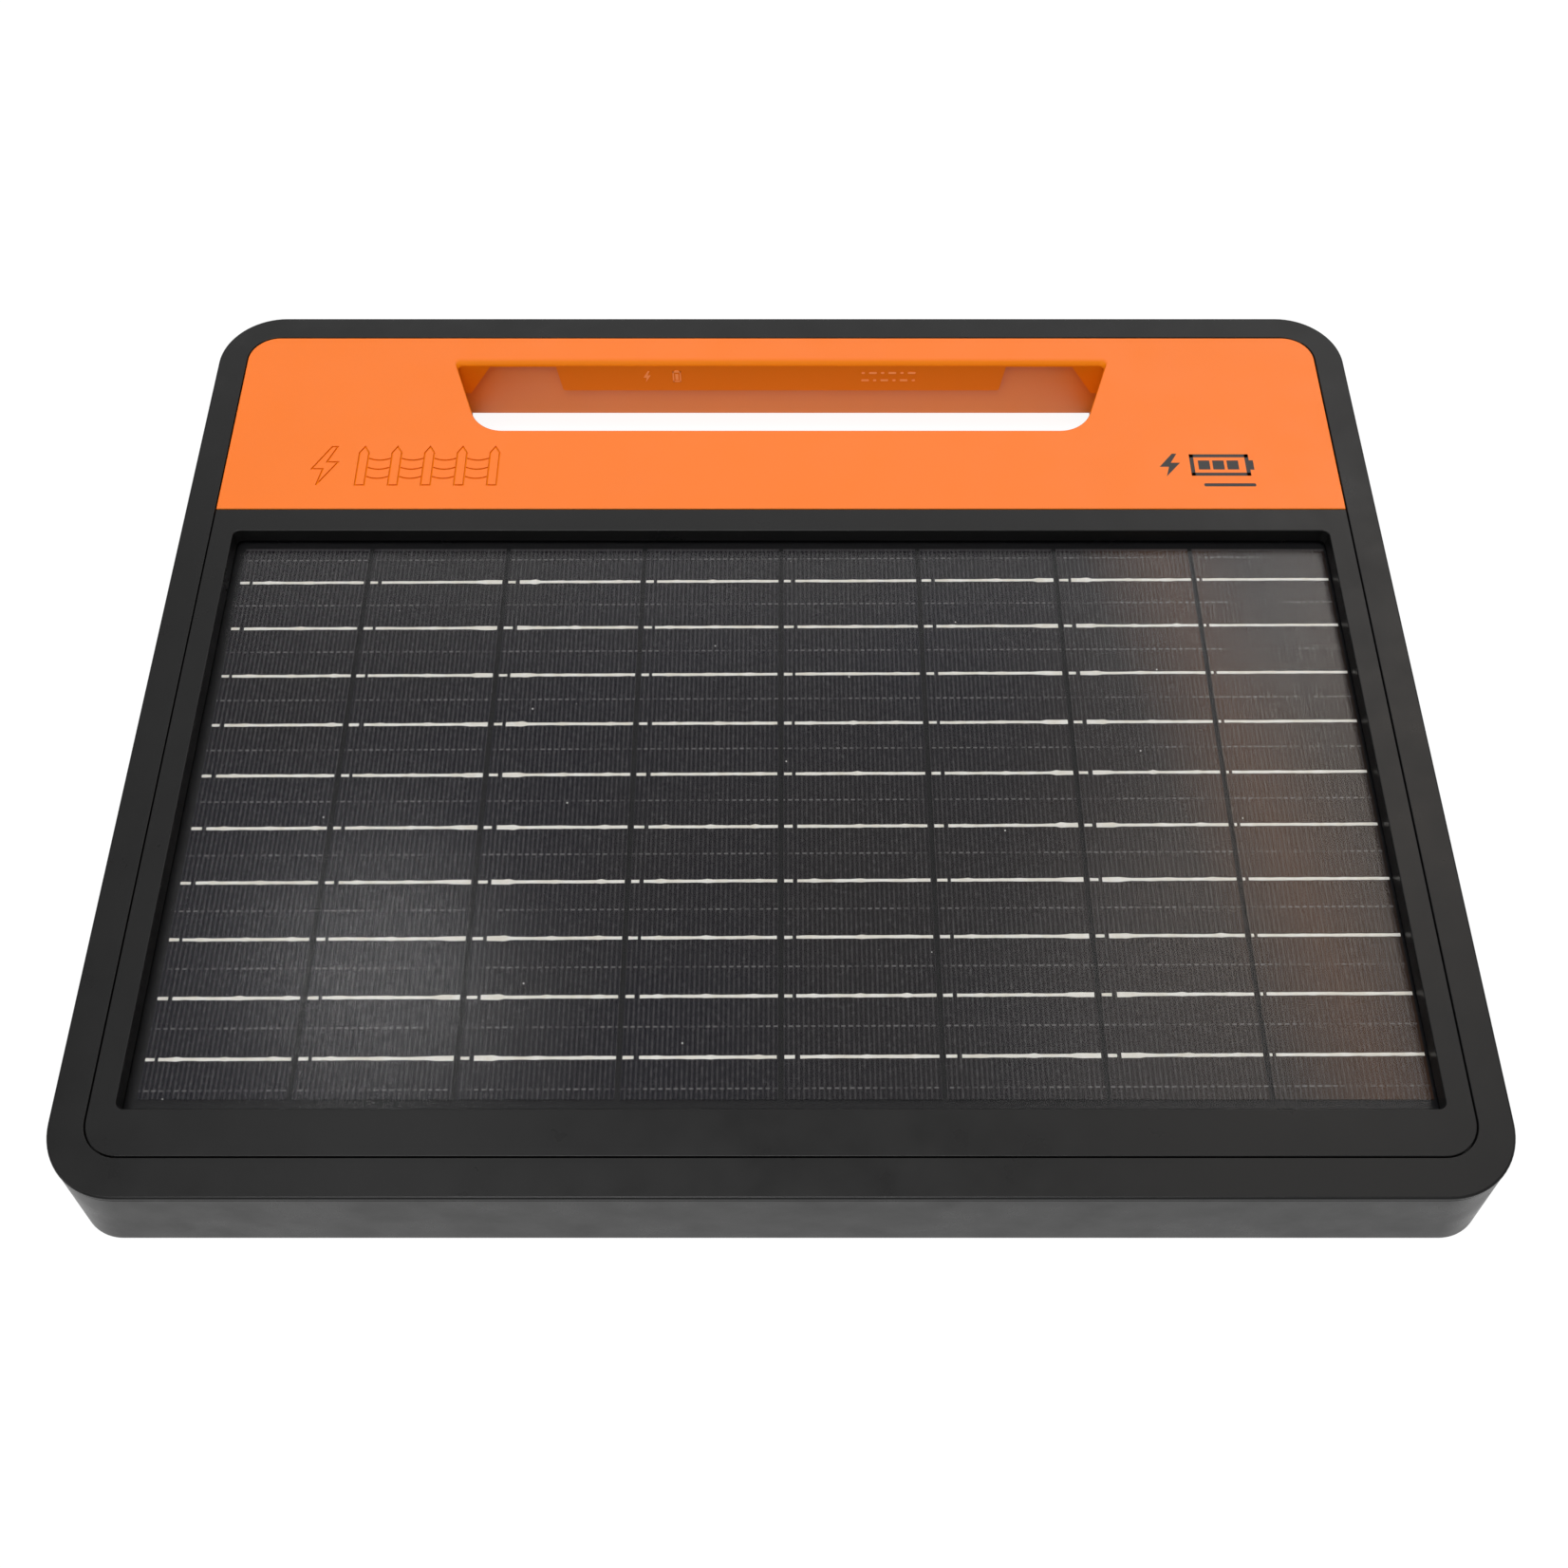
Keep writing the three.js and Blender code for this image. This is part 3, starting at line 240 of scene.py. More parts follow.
def light_scene():
    make_world()
    soft_box("overhead", (-0.2, -0.5, 2.15), (0, 0, 0), (1.2, 1.2), 25)
    soft_box("back_card", (0.1, 2.3, 1.9), (0, 0, 0), (2.6, 1.5), 11)
    soft_box("right_card", (1.0, 0.9, 1.5), (0.2, 0.1, 0), (0.8, 1.6), 3.8, (1, 0.97, 0.94))
    soft_box("warm_card", (0.75, 0.85, 1.45), (0.2, 0.1, 0), (0.35, 0.7), 0.6, (1, 0.72, 0.5))
    soft_box("corner_sheen", (0.62, 1.15, 1.5), (0.15, 0.04, 0), (0.3, 0.3), 0.4, (0.96, 0.98, 1))
    soft_box("panel_sheen", (-0.48, 0.58, 1.5), (-0.11, -0.09, 0), (0.24, 0.24), 0.55)
    soft_box("left_strip", (-1.6, -0.65, 0.75), (-0.19, -0.15, 0.03), (0.4, 0.4), 2.0)
    scene = bpy.context.scene
    scene.view_settings.view_transform = "Standard"
    scene.view_settings.look = "None"


# ---------- material helpers
def new_material(name):
    material = bpy.data.materials.new(name)
    material.use_nodes = True
    tree = material.node_tree
    return material, tree, tree.nodes["Principled BSDF"]


def object_coordinates(tree):
    return tree.nodes.new("ShaderNodeTexCoord").outputs["Object"]


def noise(tree, scale, detail=2, roughness=0.5, vector=None):
    """A noise value; scale is in cells per metre."""
    node = tree.nodes.new("ShaderNodeTexNoise")
    node.inputs["Scale"].default_value = scale
    node.inputs["Detail"].default_value = detail
    node.inputs["Roughness"].default_value = roughness
    tree.links.new(vector or object_coordinates(tree), node.inputs["Vector"])
    return node.outputs["Fac"]


def remap(tree, value, from_low, from_high, to_low, to_high):
    node = tree.nodes.new("ShaderNodeMapRange")
    tree.links.new(value, node.inputs["Value"])
    node.inputs["From Min"].default_value = from_low
    node.inputs["From Max"].default_value = from_high
    node.inputs["To Min"].default_value = to_low
    node.inputs["To Max"].default_value = to_high
    return node.outputs["Result"]


def mix_colours(tree, factor, first, second):
    """A mix of two colours; each is a tuple or a socket."""
    node = tree.nodes.new("ShaderNodeMix")
    node.data_type = "RGBA"
    tree.links.new(factor, node.inputs[0])
    for socket, colour in ((node.inputs[6], first), (node.inputs[7], second)):
        if isinstance(colour, bpy.types.NodeSocket):
            tree.links.new(colour, socket)
        else:
            socket.default_value = (*colour, 1)
    return node.outputs[2]


def maths(tree, operation, first, second=None, third=None):
    node = tree.nodes.new("ShaderNodeMath")
    node.operation = operation
    for socket, value in zip(node.inputs, (first, second, third)):
        if value is None:
            continue
        if isinstance(value, bpy.types.NodeSocket):
            tree.links.new(value, socket)
        else:
            socket.default_value = value
    return node.outputs[0]


def bump(tree, shader, height, strength, distance):
    node = tree.nodes.new("ShaderNodeBump")
    node.inputs["Strength"].default_value = strength
    node.inputs["Distance"].default_value = distance
    tree.links.new(height, node.inputs["Height"])
    tree.links.new(node.outputs["Normal"], shader.inputs["Normal"])


def linear(red, green, blue):
    """A screen colour, 0 to 255, as the linear colour that a shader takes."""
    def channel(value):
        share = value / 255
        if share <= 0.04045:
            return share / 12.92
        return ((share + 0.055) / 1.055) ** 2.4
    return channel(red), channel(green), channel(blue)


# ---------- materials
def moulded_plastic(name, colour, roughness, specular=0.5, grain=0.25, tone=0.06, coat=0.0, matt=None):
    """Injection moulded plastic: a fine spark-eroded grain, faint flow marks and handling marks.

    The last argument is a height and a colour: surfaces below it are matt, as the draft faces of a mould are,
    and take that colour as painted shade."""
    material, tree, shader = new_material(name)
    dark = tuple(channel * (1 - tone) for channel in colour)
    light = tuple(min(1, channel * (1 + tone)) for channel in colour)
    flow = remap(tree, noise(tree, 14, 3), 0.3, 0.7, 0, 1)
    base = mix_colours(tree, flow, dark, light)
    marks = noise(tree, 60, 4, 0.6)
    marked = remap(tree, marks, 0.3, 0.75, roughness - 0.05, roughness + 0.07)
    tree.links.new(marked, shader.inputs["Roughness"])
    shader.inputs["Specular IOR Level"].default_value = specular
    shader.inputs["Coat Weight"].default_value = coat
    if matt:
        shade_z, shade_colour = matt
        split = tree.nodes.new("ShaderNodeSeparateXYZ")
        tree.links.new(object_coordinates(tree), split.inputs[0])
        face = remap(tree, split.outputs[2], (shade_z - 0.3) * MM, shade_z * MM, 0, 1)
        tree.links.new(remap(tree, face, 0, 1, 0.06, specular), shader.inputs["Specular IOR Level"])
        # painted shade: a darker orange below the face
        base = mix_colours(tree, face, shade_colour, base)
    tree.links.new(base, shader.inputs["Base Color"])
    bump(tree, shader, noise(tree, 2600, 2, 0.6), grain, 0.00004)
    return material


def distance_from_middle(tree, value, pitch, phase=0.0):
    """How far a value is from the middle of its repeat, as a share of the pitch."""
    repeats = maths(tree, "DIVIDE", value, pitch)
    share = maths(tree, "FRACT", maths(tree, "ADD", repeats, phase))
    return maths(tree, "ABSOLUTE", maths(tree, "SUBTRACT", share, 0.5))


def cell_fingers(tree, x):
    """Fine printed lines along Y, worn in places."""
    line = remap(tree, distance_from_middle(tree, x, FINGER_PITCH * MM), 0.12, 0.24, 1, 0)
    worn = remap(tree, noise(tree, 700, 3, 0.7), 0.4, 0.6, 0.35, 1)
    return maths(tree, "MULTIPLY", line, worn)


def cell_dashes(tree, x, y):
    """A row of short dashes midway between the busbars, faded in places."""
    level_y = maths(tree, "SUBTRACT", y, maths(tree, "MULTIPLY", x, PANEL_SKEW))
    first_y = (cell_low_y + FIRST_BUSBAR + BUSBAR_PITCH / 2) * MM
    from_first = maths(tree, "SUBTRACT", level_y, first_y)
    line = remap(tree, distance_from_middle(tree, from_first, BUSBAR_PITCH * MM, 0.5), 0.008, 0.018, 1, 0)
    dash_share = maths(tree, "FRACT", maths(tree, "DIVIDE", x, 1.5 * FINGER_PITCH * MM))
    gate = remap(tree, dash_share, 0.55, 0.6, 1, 0)
    faded = remap(tree, noise(tree, 120, 2), 0.4, 0.55, 0.3, 1)
    return maths(tree, "MULTIPLY", maths(tree, "MULTIPLY", line, gate), faded)


def silicon_and_painted_reflection(tree, x, y):
    """Blue-black silicon in a random tint, with painted reflections: brown to the right, and one slanting
    brown band.
    """
    tint = remap(tree, noise(tree, 9, 2), 0.35, 0.65, 0, 1)
    silicon = mix_colours(tree, tint, linear(14, 13, 24), linear(26, 23, 25))
    # painted reflection: the silicon turns brown towards the right
    warm_reflection = remap(tree, x, 0.06, 0.15, 0, 0.8)
    silicon = mix_colours(tree, warm_reflection, silicon, linear(44, 34, 28))
    # painted reflection: a slanting brown band
    reflection_band_centre = maths(tree, "MULTIPLY_ADD", y, -0.22, 0.131)
    reflection_band_offset = maths(tree, "ABSOLUTE", maths(tree, "SUBTRACT", x, reflection_band_centre))
    reflection_band = remap(tree, reflection_band_offset, 0, 0.026, 0.75, 0)
    return mix_colours(tree, reflection_band, silicon, linear(78, 50, 30))


def dust_specks(tree):
    """A few pale specks, a quarter of a millimetre across."""
    cells = tree.nodes.new("ShaderNodeTexVoronoi")
    cells.inputs["Scale"].default_value = 90
    tree.links.new(object_coordinates(tree), cells.inputs["Vector"])
    return remap(tree, cells.outputs["Distance"], 0.018, 0.024, 1, 0)


def solar_cell_material():
    """Blue-black silicon with printed silver fingers, a dashed joining line, a few dust specks and painted
    reflections in brown.
    """
    material, tree, shader = new_material("solar_cell")
    split = tree.nodes.new("ShaderNodeSeparateXYZ")
    tree.links.new(object_coordinates(tree), split.inputs[0])
    x, y = split.outputs[0], split.outputs[1]
    far_line = remap(tree, y, (cell_high_y - 0.9) * MM, (cell_high_y - 0.6) * MM, 0, 0.5)
    finger = maths(tree, "MULTIPLY", cell_fingers(tree, x), 0.36)
    dash = maths(tree, "MULTIPLY", cell_dashes(tree, x, y), 0.65)
    colour = mix_colours(tree, finger, silicon_and_painted_reflection(tree, x, y), linear(104, 102, 102))
    colour = mix_colours(tree, far_line, colour, linear(92, 90, 92))
    colour = mix_colours(tree, dash, colour, linear(132, 130, 130))
    colour = mix_colours(tree, dust_specks(tree), colour, linear(235, 233, 228))
    tree.links.new(colour, shader.inputs["Base Color"])
    shader.inputs["Specular IOR Level"].default_value = 0.25
    tree.links.new(remap(tree, noise(tree, 700, 3), 0.3, 0.7, 0.16, 0.28), shader.inputs["Roughness"])
    bump(tree, shader, noise(tree, 1700, 2, 0.5), 0.22, 0.00012)
    return material


def panel_glass_material():
    """Textured solar glass: clear, with a pebbled surface that breaks up its reflections."""
    material, tree, shader = new_material("panel_glass")
    shader.inputs["Base Color"].default_value = (0.01, 0.01, 0.012, 1)
    shader.inputs["Alpha"].default_value = 0.1
    shader.inputs["IOR"].default_value = 2.0
    tree.links.new(remap(tree, noise(tree, 500, 2), 0.3, 0.7, 0.1, 0.2), shader.inputs["Roughness"])
    bump(tree, shader, noise(tree, 1500, 2, 0.5), 0.25, 0.0001)
    return material


def ribbon_material():
    """Tinned copper ribbon: dull silver, slightly uneven."""
    material, tree, shader = new_material("tinned_ribbon")
    patch = remap(tree, noise(tree, 300, 3), 0.35, 0.65, 0, 1)
    silver = mix_colours(tree, patch, linear(243, 238, 226), linear(255, 253, 247))
    tree.links.new(silver, shader.inputs["Base Color"])
    tree.links.new(remap(tree, noise(tree, 800, 2), 0.3, 0.7, 0.35, 0.55), shader.inputs["Roughness"])
    bump(tree, shader, noise(tree, 900, 2), 0.4, 0.00005)
    return material


def metal_material(name, colour, roughness):
    """Plated metal with faint turning marks and dull patches."""
    material, tree, shader = new_material(name)
    patch = remap(tree, noise(tree, 220, 4, 0.6), 0.3, 0.7, 0, 1)
    dull = tuple(channel * 0.82 for channel in colour)
    tree.links.new(mix_colours(tree, patch, dull, colour), shader.inputs["Base Color"])
    tree.links.new(remap(tree, patch, 0, 1, roughness + 0.12, roughness - 0.04), shader.inputs["Roughness"])
    shader.inputs["Metallic"].default_value = 1
    bump(tree, shader, noise(tree, 1500, 2), 0.25, 0.00003)
    return material


def board_material():
    """Green solder mask over traces."""
    material, tree, shader = new_material("solder_mask")
    brick = tree.nodes.new("ShaderNodeTexBrick")
    tree.links.new(object_coordinates(tree), brick.inputs["Vector"])
    brick.inputs["Scale"].default_value = 160
    brick.inputs["Mortar Size"].default_value = 0.03
    brick.inputs["Color1"].default_value = (*linear(24, 92, 48), 1)
    brick.inputs["Color2"].default_value = (*linear(20, 80, 42), 1)
    brick.inputs["Mortar"].default_value = (*linear(60, 130, 70), 1)
    tree.links.new(brick.outputs["Color"], shader.inputs["Base Color"])
    tree.links.new(remap(tree, noise(tree, 400, 2), 0.3, 0.7, 0.3, 0.42), shader.inputs["Roughness"])
    bump(tree, shader, brick.outputs["Fac"], 0.3, 0.00003)
    return material


# below the face the orange is matt, as the draft faces of its mould are, and darker: painted shade in the
# hand hole and in the engraved lines
ORANGE_MATT_AND_SHADE = (FRONT_Z - 0.02, linear(231, 123, 6))

# name, screen colour, roughness, and what differs from plain moulded plastic
PLASTICS = (
    ("case_black", (23, 23, 23), 0.31, {"specular": 0.27, "tone": 0.1}),
    ("case_wall", (30, 30, 30), 0.3, {"specular": 0.07, "tone": 0.1}),
    ("case_orange", (249, 121, 22), 0.4, {"tone": 0.015, "matt": ORANGE_MATT_AND_SHADE}),
    # a darker copy of the case orange: painted shade for the grip's inner wall
    ("orange_grip_shade", (222, 121, 24), 0.36, {"tone": 0.03}),
    ("orange_pale", (255, 165, 92), 0.6, {"specular": 0.1, "tone": 0.02}),
    ("backsheet", (22, 22, 23), 0.5, {"specular": 0.16}),
    ("rubber", (30, 30, 31), 0.75, {"specular": 0.25, "grain": 0.5}),
    ("battery_sleeve", (38, 98, 160), 0.35, {"coat": 0.3}),
    ("grey_plastic", (66, 66, 68), 0.6, {}),
    ("black_component", (28, 28, 28), 0.6, {}),
    ("capacitor", (205, 160, 50), 0.35, {"coat": 0.3}),
    ("led_lens", (232, 232, 224), 0.25, {}),
    ("red_plastic", (196, 30, 26), 0.42, {"tone": 0.04}),
    ("green_plastic", (30, 132, 58), 0.42, {"tone": 0.04}),
    ("ferrite", (62, 62, 66), 0.7, {}),
    ("red_wire", (178, 30, 28), 0.45, {}),
    ("black_wire", (30, 30, 30), 0.45, {}),
    ("white_wire", (215, 215, 208), 0.45, {}),
    ("mark", (46, 44, 44), 0.5, {}),
)
MATERIALS = {
    "panel_glass": panel_glass_material(),
    "solar_cell": solar_cell_material(),
    "circuit_board": board_material(),
    "zinc_steel": metal_material("zinc_steel", linear(200, 202, 206), 0.32),
    "copper_winding": metal_material("copper_winding", linear(190, 110, 60), 0.35),
    "ribbon": ribbon_material(),
}
for plastic, screen_colour, plastic_roughness, extras in PLASTICS:
    MATERIALS[plastic] = moulded_plastic(plastic, linear(*screen_colour), plastic_roughness, **extras)


def paint_cad_nodes():
    """Gives every CAD node the material of its record slot."""
    for entry in frame["record"]["subparts"]:
        mesh = frame["nodes"][entry["node"]].data
        mesh.materials.clear()
        mesh.materials.append(MATERIALS[entry["material_slot"]])


# ---------- outlines
def arc(centre, radius, start, end, steps):
    """Points on an arc, in degrees, both ends included; a radius of 0 gives one point."""
    if radius <= 0:
        return [centre]
    points = []
    for step in range(steps + 1):
        angle = math.radians(start + (end - start) * step / steps)
        points.append((centre[0] + radius * math.cos(angle), centre[1] + radius * math.sin(angle)))
    return points


def rounded_rectangle(x0, x1, y0, y1, radii, steps=12):
    """Corner radii in the order near left, near right, far right, far left."""
    near_left, near_right, far_right, far_left = (max(radius, 0) for radius in radii)
    points = arc((x0 + near_left, y0 + near_left), near_left, 180, 270, steps)
    points += arc((x1 - near_right, y0 + near_right), near_right, 270, 360, steps)
    points += arc((x1 - far_right, y1 - far_right), far_right, 0, 90, steps)
    points += arc((x0 + far_left, y1 - far_left), far_left, 90, 180, steps)
    return points


def inset_rectangle(x0, x1, y0, y1, radius, inset, steps=12):
    """A rounded rectangle, made smaller by the inset all round."""
    return rounded_rectangle(x0 + inset, x1 - inset, y0 + inset, y1 - inset, (radius - inset,) * 4, steps)


def case_outline(inset, radius=CASE_CORNER_R):
    across, along = CASE_HALF_WIDTH, CASE_HALF_LENGTH
    return inset_rectangle(-across, across, -along, along, radius, inset, 18)


def tub_outline(inset, z):
    """The tub's outline at a height: its corners tighten towards its back."""
    share = z / TUB_TOP_Z
    return case_outline(inset, CASE_BACK_CORNER_R + (CASE_CORNER_R - CASE_BACK_CORNER_R) * share)


def tub_body():
    """The outside of the tub, with a rounded foot and a crisp top edge."""
    top = PARTING_Z - PARTING_GAP
    edge = 0.12
    steps = 5
    loops = []
    for step in range(steps + 1):
        turn = math.pi / 2 * step / steps
        z = CASE_FOOT_ROUND * (1 - math.cos(turn))
        loops.append(at_height(tub_outline(CASE_FOOT_ROUND * (1 - math.sin(turn)), z), z))
    loops.append(at_height(tub_outline(0, top - edge), top - edge))
    loops.append(at_height(tub_outline(edge, top), top))
    return loft("case_tub", loops)


def face_outline(inset):
    return inset_rectangle(-FACE_HALF_WIDTH, FACE_HALF_WIDTH, FACE_NEAR_Y, FACE_FAR_Y, FACE_CORNER_R, inset)


def bezel_outline(inset):
    """The near part of the face, up to the seam."""
    shrink = inset + FACE_SEAM
    half_width = FACE_HALF_WIDTH - shrink
    radius = FACE_CORNER_R - shrink
    far_y = SEAM_Y - FACE_GAP / 2 - inset
    radii = (radius, radius, SEAM_CORNER_R, SEAM_CORNER_R)
    return rounded_rectangle(-half_width, half_width, FACE_NEAR_Y + shrink, far_y, radii)


def cover_outline(inset):
    """The far part of the face, from the seam on."""
    shrink = inset + FACE_SEAM
    half_width = FACE_HALF_WIDTH - shrink
    radius = FACE_CORNER_R - shrink
    near_y = SEAM_Y + FACE_GAP / 2 + inset
    radii = (SEAM_CORNER_R, SEAM_CORNER_R, radius, radius)
    return rounded_rectangle(-half_width, half_width, near_y, FACE_FAR_Y - shrink, radii)


def window_outline(inset):
    half_width = WINDOW_HALF_WIDTH
    return inset_rectangle(-half_width, half_width, WINDOW_NEAR_Y, WINDOW_FAR_Y, WINDOW_CORNER_R, inset, 6)


def hole_outline(inset, far_shift=0.0):
    """The hand hole: its sides slant, its near corners are large and its far corners small.

    far_shift moves only the far wall, away from the hole."""
    slant = math.atan2(HOLE_FAR_HALF_WIDTH - HOLE_NEAR_HALF_WIDTH, HOLE_FAR_Y - HOLE_NEAR_Y)
    near_y = HOLE_NEAR_Y + inset
    far_y = HOLE_FAR_Y - inset + far_shift
    side_shift = inset / math.cos(slant)

    def side_x(y):
        return HOLE_NEAR_HALF_WIDTH - side_shift + (y - HOLE_NEAR_Y) * math.tan(slant)

    slant_degrees = math.degrees(slant)
    near_r = HOLE_CORNER_R - inset
    near_turn = math.pi / 2 - slant
    near_centre_x = side_x(near_y) - near_r * math.tan(near_turn / 2)
    far_r = max(HOLE_FAR_CORNER_R - inset, 0.2)
    far_turn = math.pi / 2 + slant
    far_centre_x = side_x(far_y) - far_r * math.tan(far_turn / 2)
    right = arc((near_centre_x, near_y + near_r), near_r, -90, -slant_degrees, 12)
    right += arc((far_centre_x, far_y - far_r), far_r, -slant_degrees, 90, 6)
    left = [(-x, y) for x, y in reversed(right)]
    return right + left


def circle(centre, radius, steps=32):
    return arc(centre, radius, 0, 360 - 360 / steps, steps - 1)


def disc(radius, steps):
    """A circle about the origin, as a function of its inset."""
    def outline(inset):
        return circle((0, 0), radius - inset, steps)

    return outline


# ---------- mesh helpers
def mesh_object(name, points, faces):
    mesh = bpy.data.meshes.new(name)
    mesh.from_pydata([Vector(point) * MM for point in points], [], faces)
    mesh.validate()
    obj = bpy.data.objects.new(name, mesh)
    bpy.context.scene.collection.objects.link(obj)
    return obj


def loft(name, loops):
    """A closed solid through loops of points that all have the same count, lowest first."""
    count = len(loops[0])
    points = [point for loop in loops for point in loop]
    faces = [tuple(reversed(range(count)))]
    for level in range(len(loops) - 1):
        base = level * count
        for index in range(count):
            following = (index + 1) % count
            faces.append((base + index, base + following, base + count + following, base + count + index))
    top = (len(loops) - 1) * count
    faces.append(tuple(range(top, top + count)))
    return mesh_object(name, points, faces)


def at_height(outline, z):
    return [(x, y, z) for x, y in outline]


def slab(name, outline, z0, z1, top_round=0.0, bottom_round=0.0, steps=5):
    """A plate between two heights; outline is a function of the inset, and rounds shape its edges."""
    loops = []
    if bottom_round > 0:
        for step in range(steps):
            turn = math.pi / 2 * step / steps
            inset = bottom_round * (1 - math.sin(turn))
            loops.append(at_height(outline(inset), z0 + bottom_round * (1 - math.cos(turn))))
    loops.append(at_height(outline(0), z0 + bottom_round))
    loops.append(at_height(outline(0), z1 - top_round))
    if top_round > 0:
        for step in range(1, steps + 1):
            turn = math.pi / 2 * step / steps
            inset = top_round * (1 - math.cos(turn))
            loops.append(at_height(outline(inset), z1 - top_round + top_round * math.sin(turn)))
    return loft(name, loops)


def well(name, outline, z0, z1, mouth=0.0, steps=5, overrun=1.0):
    """A cutter open at z1 with a rounded mouth there; it runs on past the face."""
    loops = [at_height(outline(0), z0), at_height(outline(0), z1 - mouth)]
    for step in range(1, steps + 1):
        turn = math.pi / 2 * step / steps
        inset = -mouth * (1 - math.cos(turn))
        loops.append(at_height(outline(inset), z1 - mouth + mouth * math.sin(turn)))
    loops.append(at_height(outline(-mouth - 0.01), z1 + overrun))
    return loft(name, loops)


def upturned(obj, z):
    """Mirrors a mesh in the plane at height z, so that a well opens downwards."""
    obj.data.transform(Matrix.Translation((0, 0, 2 * z * MM)) @ Matrix.Scale(-1, 4, (0, 0, 1)))
    obj.data.flip_normals()
    return obj


def plate_cutter(name, x0, x1, y0, y1, z0, z1, radius=0.0, steps=4):
    """An upright block with rounded vertical edges."""
    outline = rounded_rectangle(x0, x1, y0, y1, (radius,) * 4, steps)
    return loft(name, [at_height(outline, z0), at_height(outline, z1)])


def post(name, centre, radius, z0, z1, steps=32):
    outline = circle(centre, radius, steps)
    return loft(name, [at_height(outline, z0), at_height(outline, z1)])


def apply_modifiers(obj):
    graph = bpy.context.evaluated_depsgraph_get()
    mesh = bpy.data.meshes.new_from_object(obj.evaluated_get(graph))
    obj.modifiers.clear()
    old = obj.data
    obj.data = mesh
    bpy.data.meshes.remove(old)


def combine(obj, operation, others):
    """Cuts or joins several solids in one exact boolean, and removes them."""
    group = bpy.data.collections.new("tools")
    for other in others:
        group.objects.link(other)
    modifier = obj.modifiers.new("boolean", "BOOLEAN")
    modifier.operation = operation
    modifier.solver = "EXACT"
    modifier.operand_type = "COLLECTION"
    modifier.collection = group
    apply_modifiers(obj)
    for other in others:
        bpy.data.objects.remove(other)
    bpy.data.collections.remove(group)


def cut(obj, *others):
    combine(obj, "DIFFERENCE", others)


def join(obj, *others):
    combine(obj, "UNION", others)


def finish_piece(obj, material, body=ROOT, replaces=(), sharp=38):
    """Smooth shading with flat faces kept flat, the material, and the CAD body it moves with."""
    mesh = obj.data
    mesh.materials.clear()
    mesh.materials.append(MATERIALS[material])
    mesh.shade_smooth()
    mesh.set_sharp_from_angle(angle=math.radians(sharp))
    modifier = obj.modifiers.new("flat_faces", "WEIGHTED_NORMAL")
    modifier.keep_sharp = True
    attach(obj, body)
    if replaces:
        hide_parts(*replaces)


# ---------- case
def screw_centre(name):
    low, high = node_box(name)
    return (low.x + high.x) / 2, (low.y + high.y) / 2


def screw_posts(half):
    """The posts under the face that the screws bite into: -1 for its near half, 1 for its far half."""
    centres = [screw_centre(name) for name in SCREW_NAMES]
    top = PLATE_Z + 0.5
    return [
        post("boss", centre, SCREW_POST_R, SCREW_POST_BOTTOM_Z, top, 24)
        for centre in centres
        if centre[1] * half > 0
    ]


def bay_cutter(side):
    inner = side * BAY_INNER_X
    outer = side * (CASE_HALF_WIDTH + 8)
    x0, x1 = sorted((inner, outer))

    def outline(inset):
        return inset_rectangle(x0, x1, BAY_NEAR_Y, BAY_FAR_Y, BAY_CORNER_R, inset, 6)

    return upturned(well("bay", outline, -BAY_CEILING_Z, 0, 0.8), 0)


def keyhole_cutters(entry_y):
    slot_y = entry_y + KEYHOLE_RISE

    def entry(inset):
        return circle((0, entry_y), KEYHOLE_ENTRY_R - inset)

    def slot(inset):
        radius = KEYHOLE_SLOT_R - inset
        points = arc((0, entry_y), radius, 180, 360, 8)
        return points + arc((0, slot_y), radius, 0, 180, 8)

    pocket = plate_cutter(
        "pocket",
        -KEYHOLE_POCKET_R,
        KEYHOLE_POCKET_R,
        entry_y - KEYHOLE_ENTRY_R - 1,
        slot_y + KEYHOLE_POCKET_R,
        CASE_WALL,
        KEYHOLE_POCKET_Z,
        3,
    )
    return [
        upturned(well("entry", entry, -CASE_WALL - 1, 0, 0.5), 0),
        upturned(well("slot", slot, -CASE_WALL - 1, 0, 0.5), 0),
        pocket,
    ]


def keyhole_block(entry_y):
    reach = KEYHOLE_POCKET_R + CASE_WALL
    return plate_cutter(
        "keyhole_block",
        -reach,
        reach,
        entry_y - KEYHOLE_ENTRY_R - 1 - CASE_WALL,
        entry_y + KEYHOLE_RISE + reach,
        1,
        KEYHOLE_POCKET_Z + CASE_WALL,
    )


def round_well(name, centre, radius, depth, mouth=0.4, steps=32):
    """A round recess in the back."""
    def outline(inset):
        return circle(centre, radius - inset, steps)

    return upturned(well(name, outline, -depth, 0, mouth), 0)


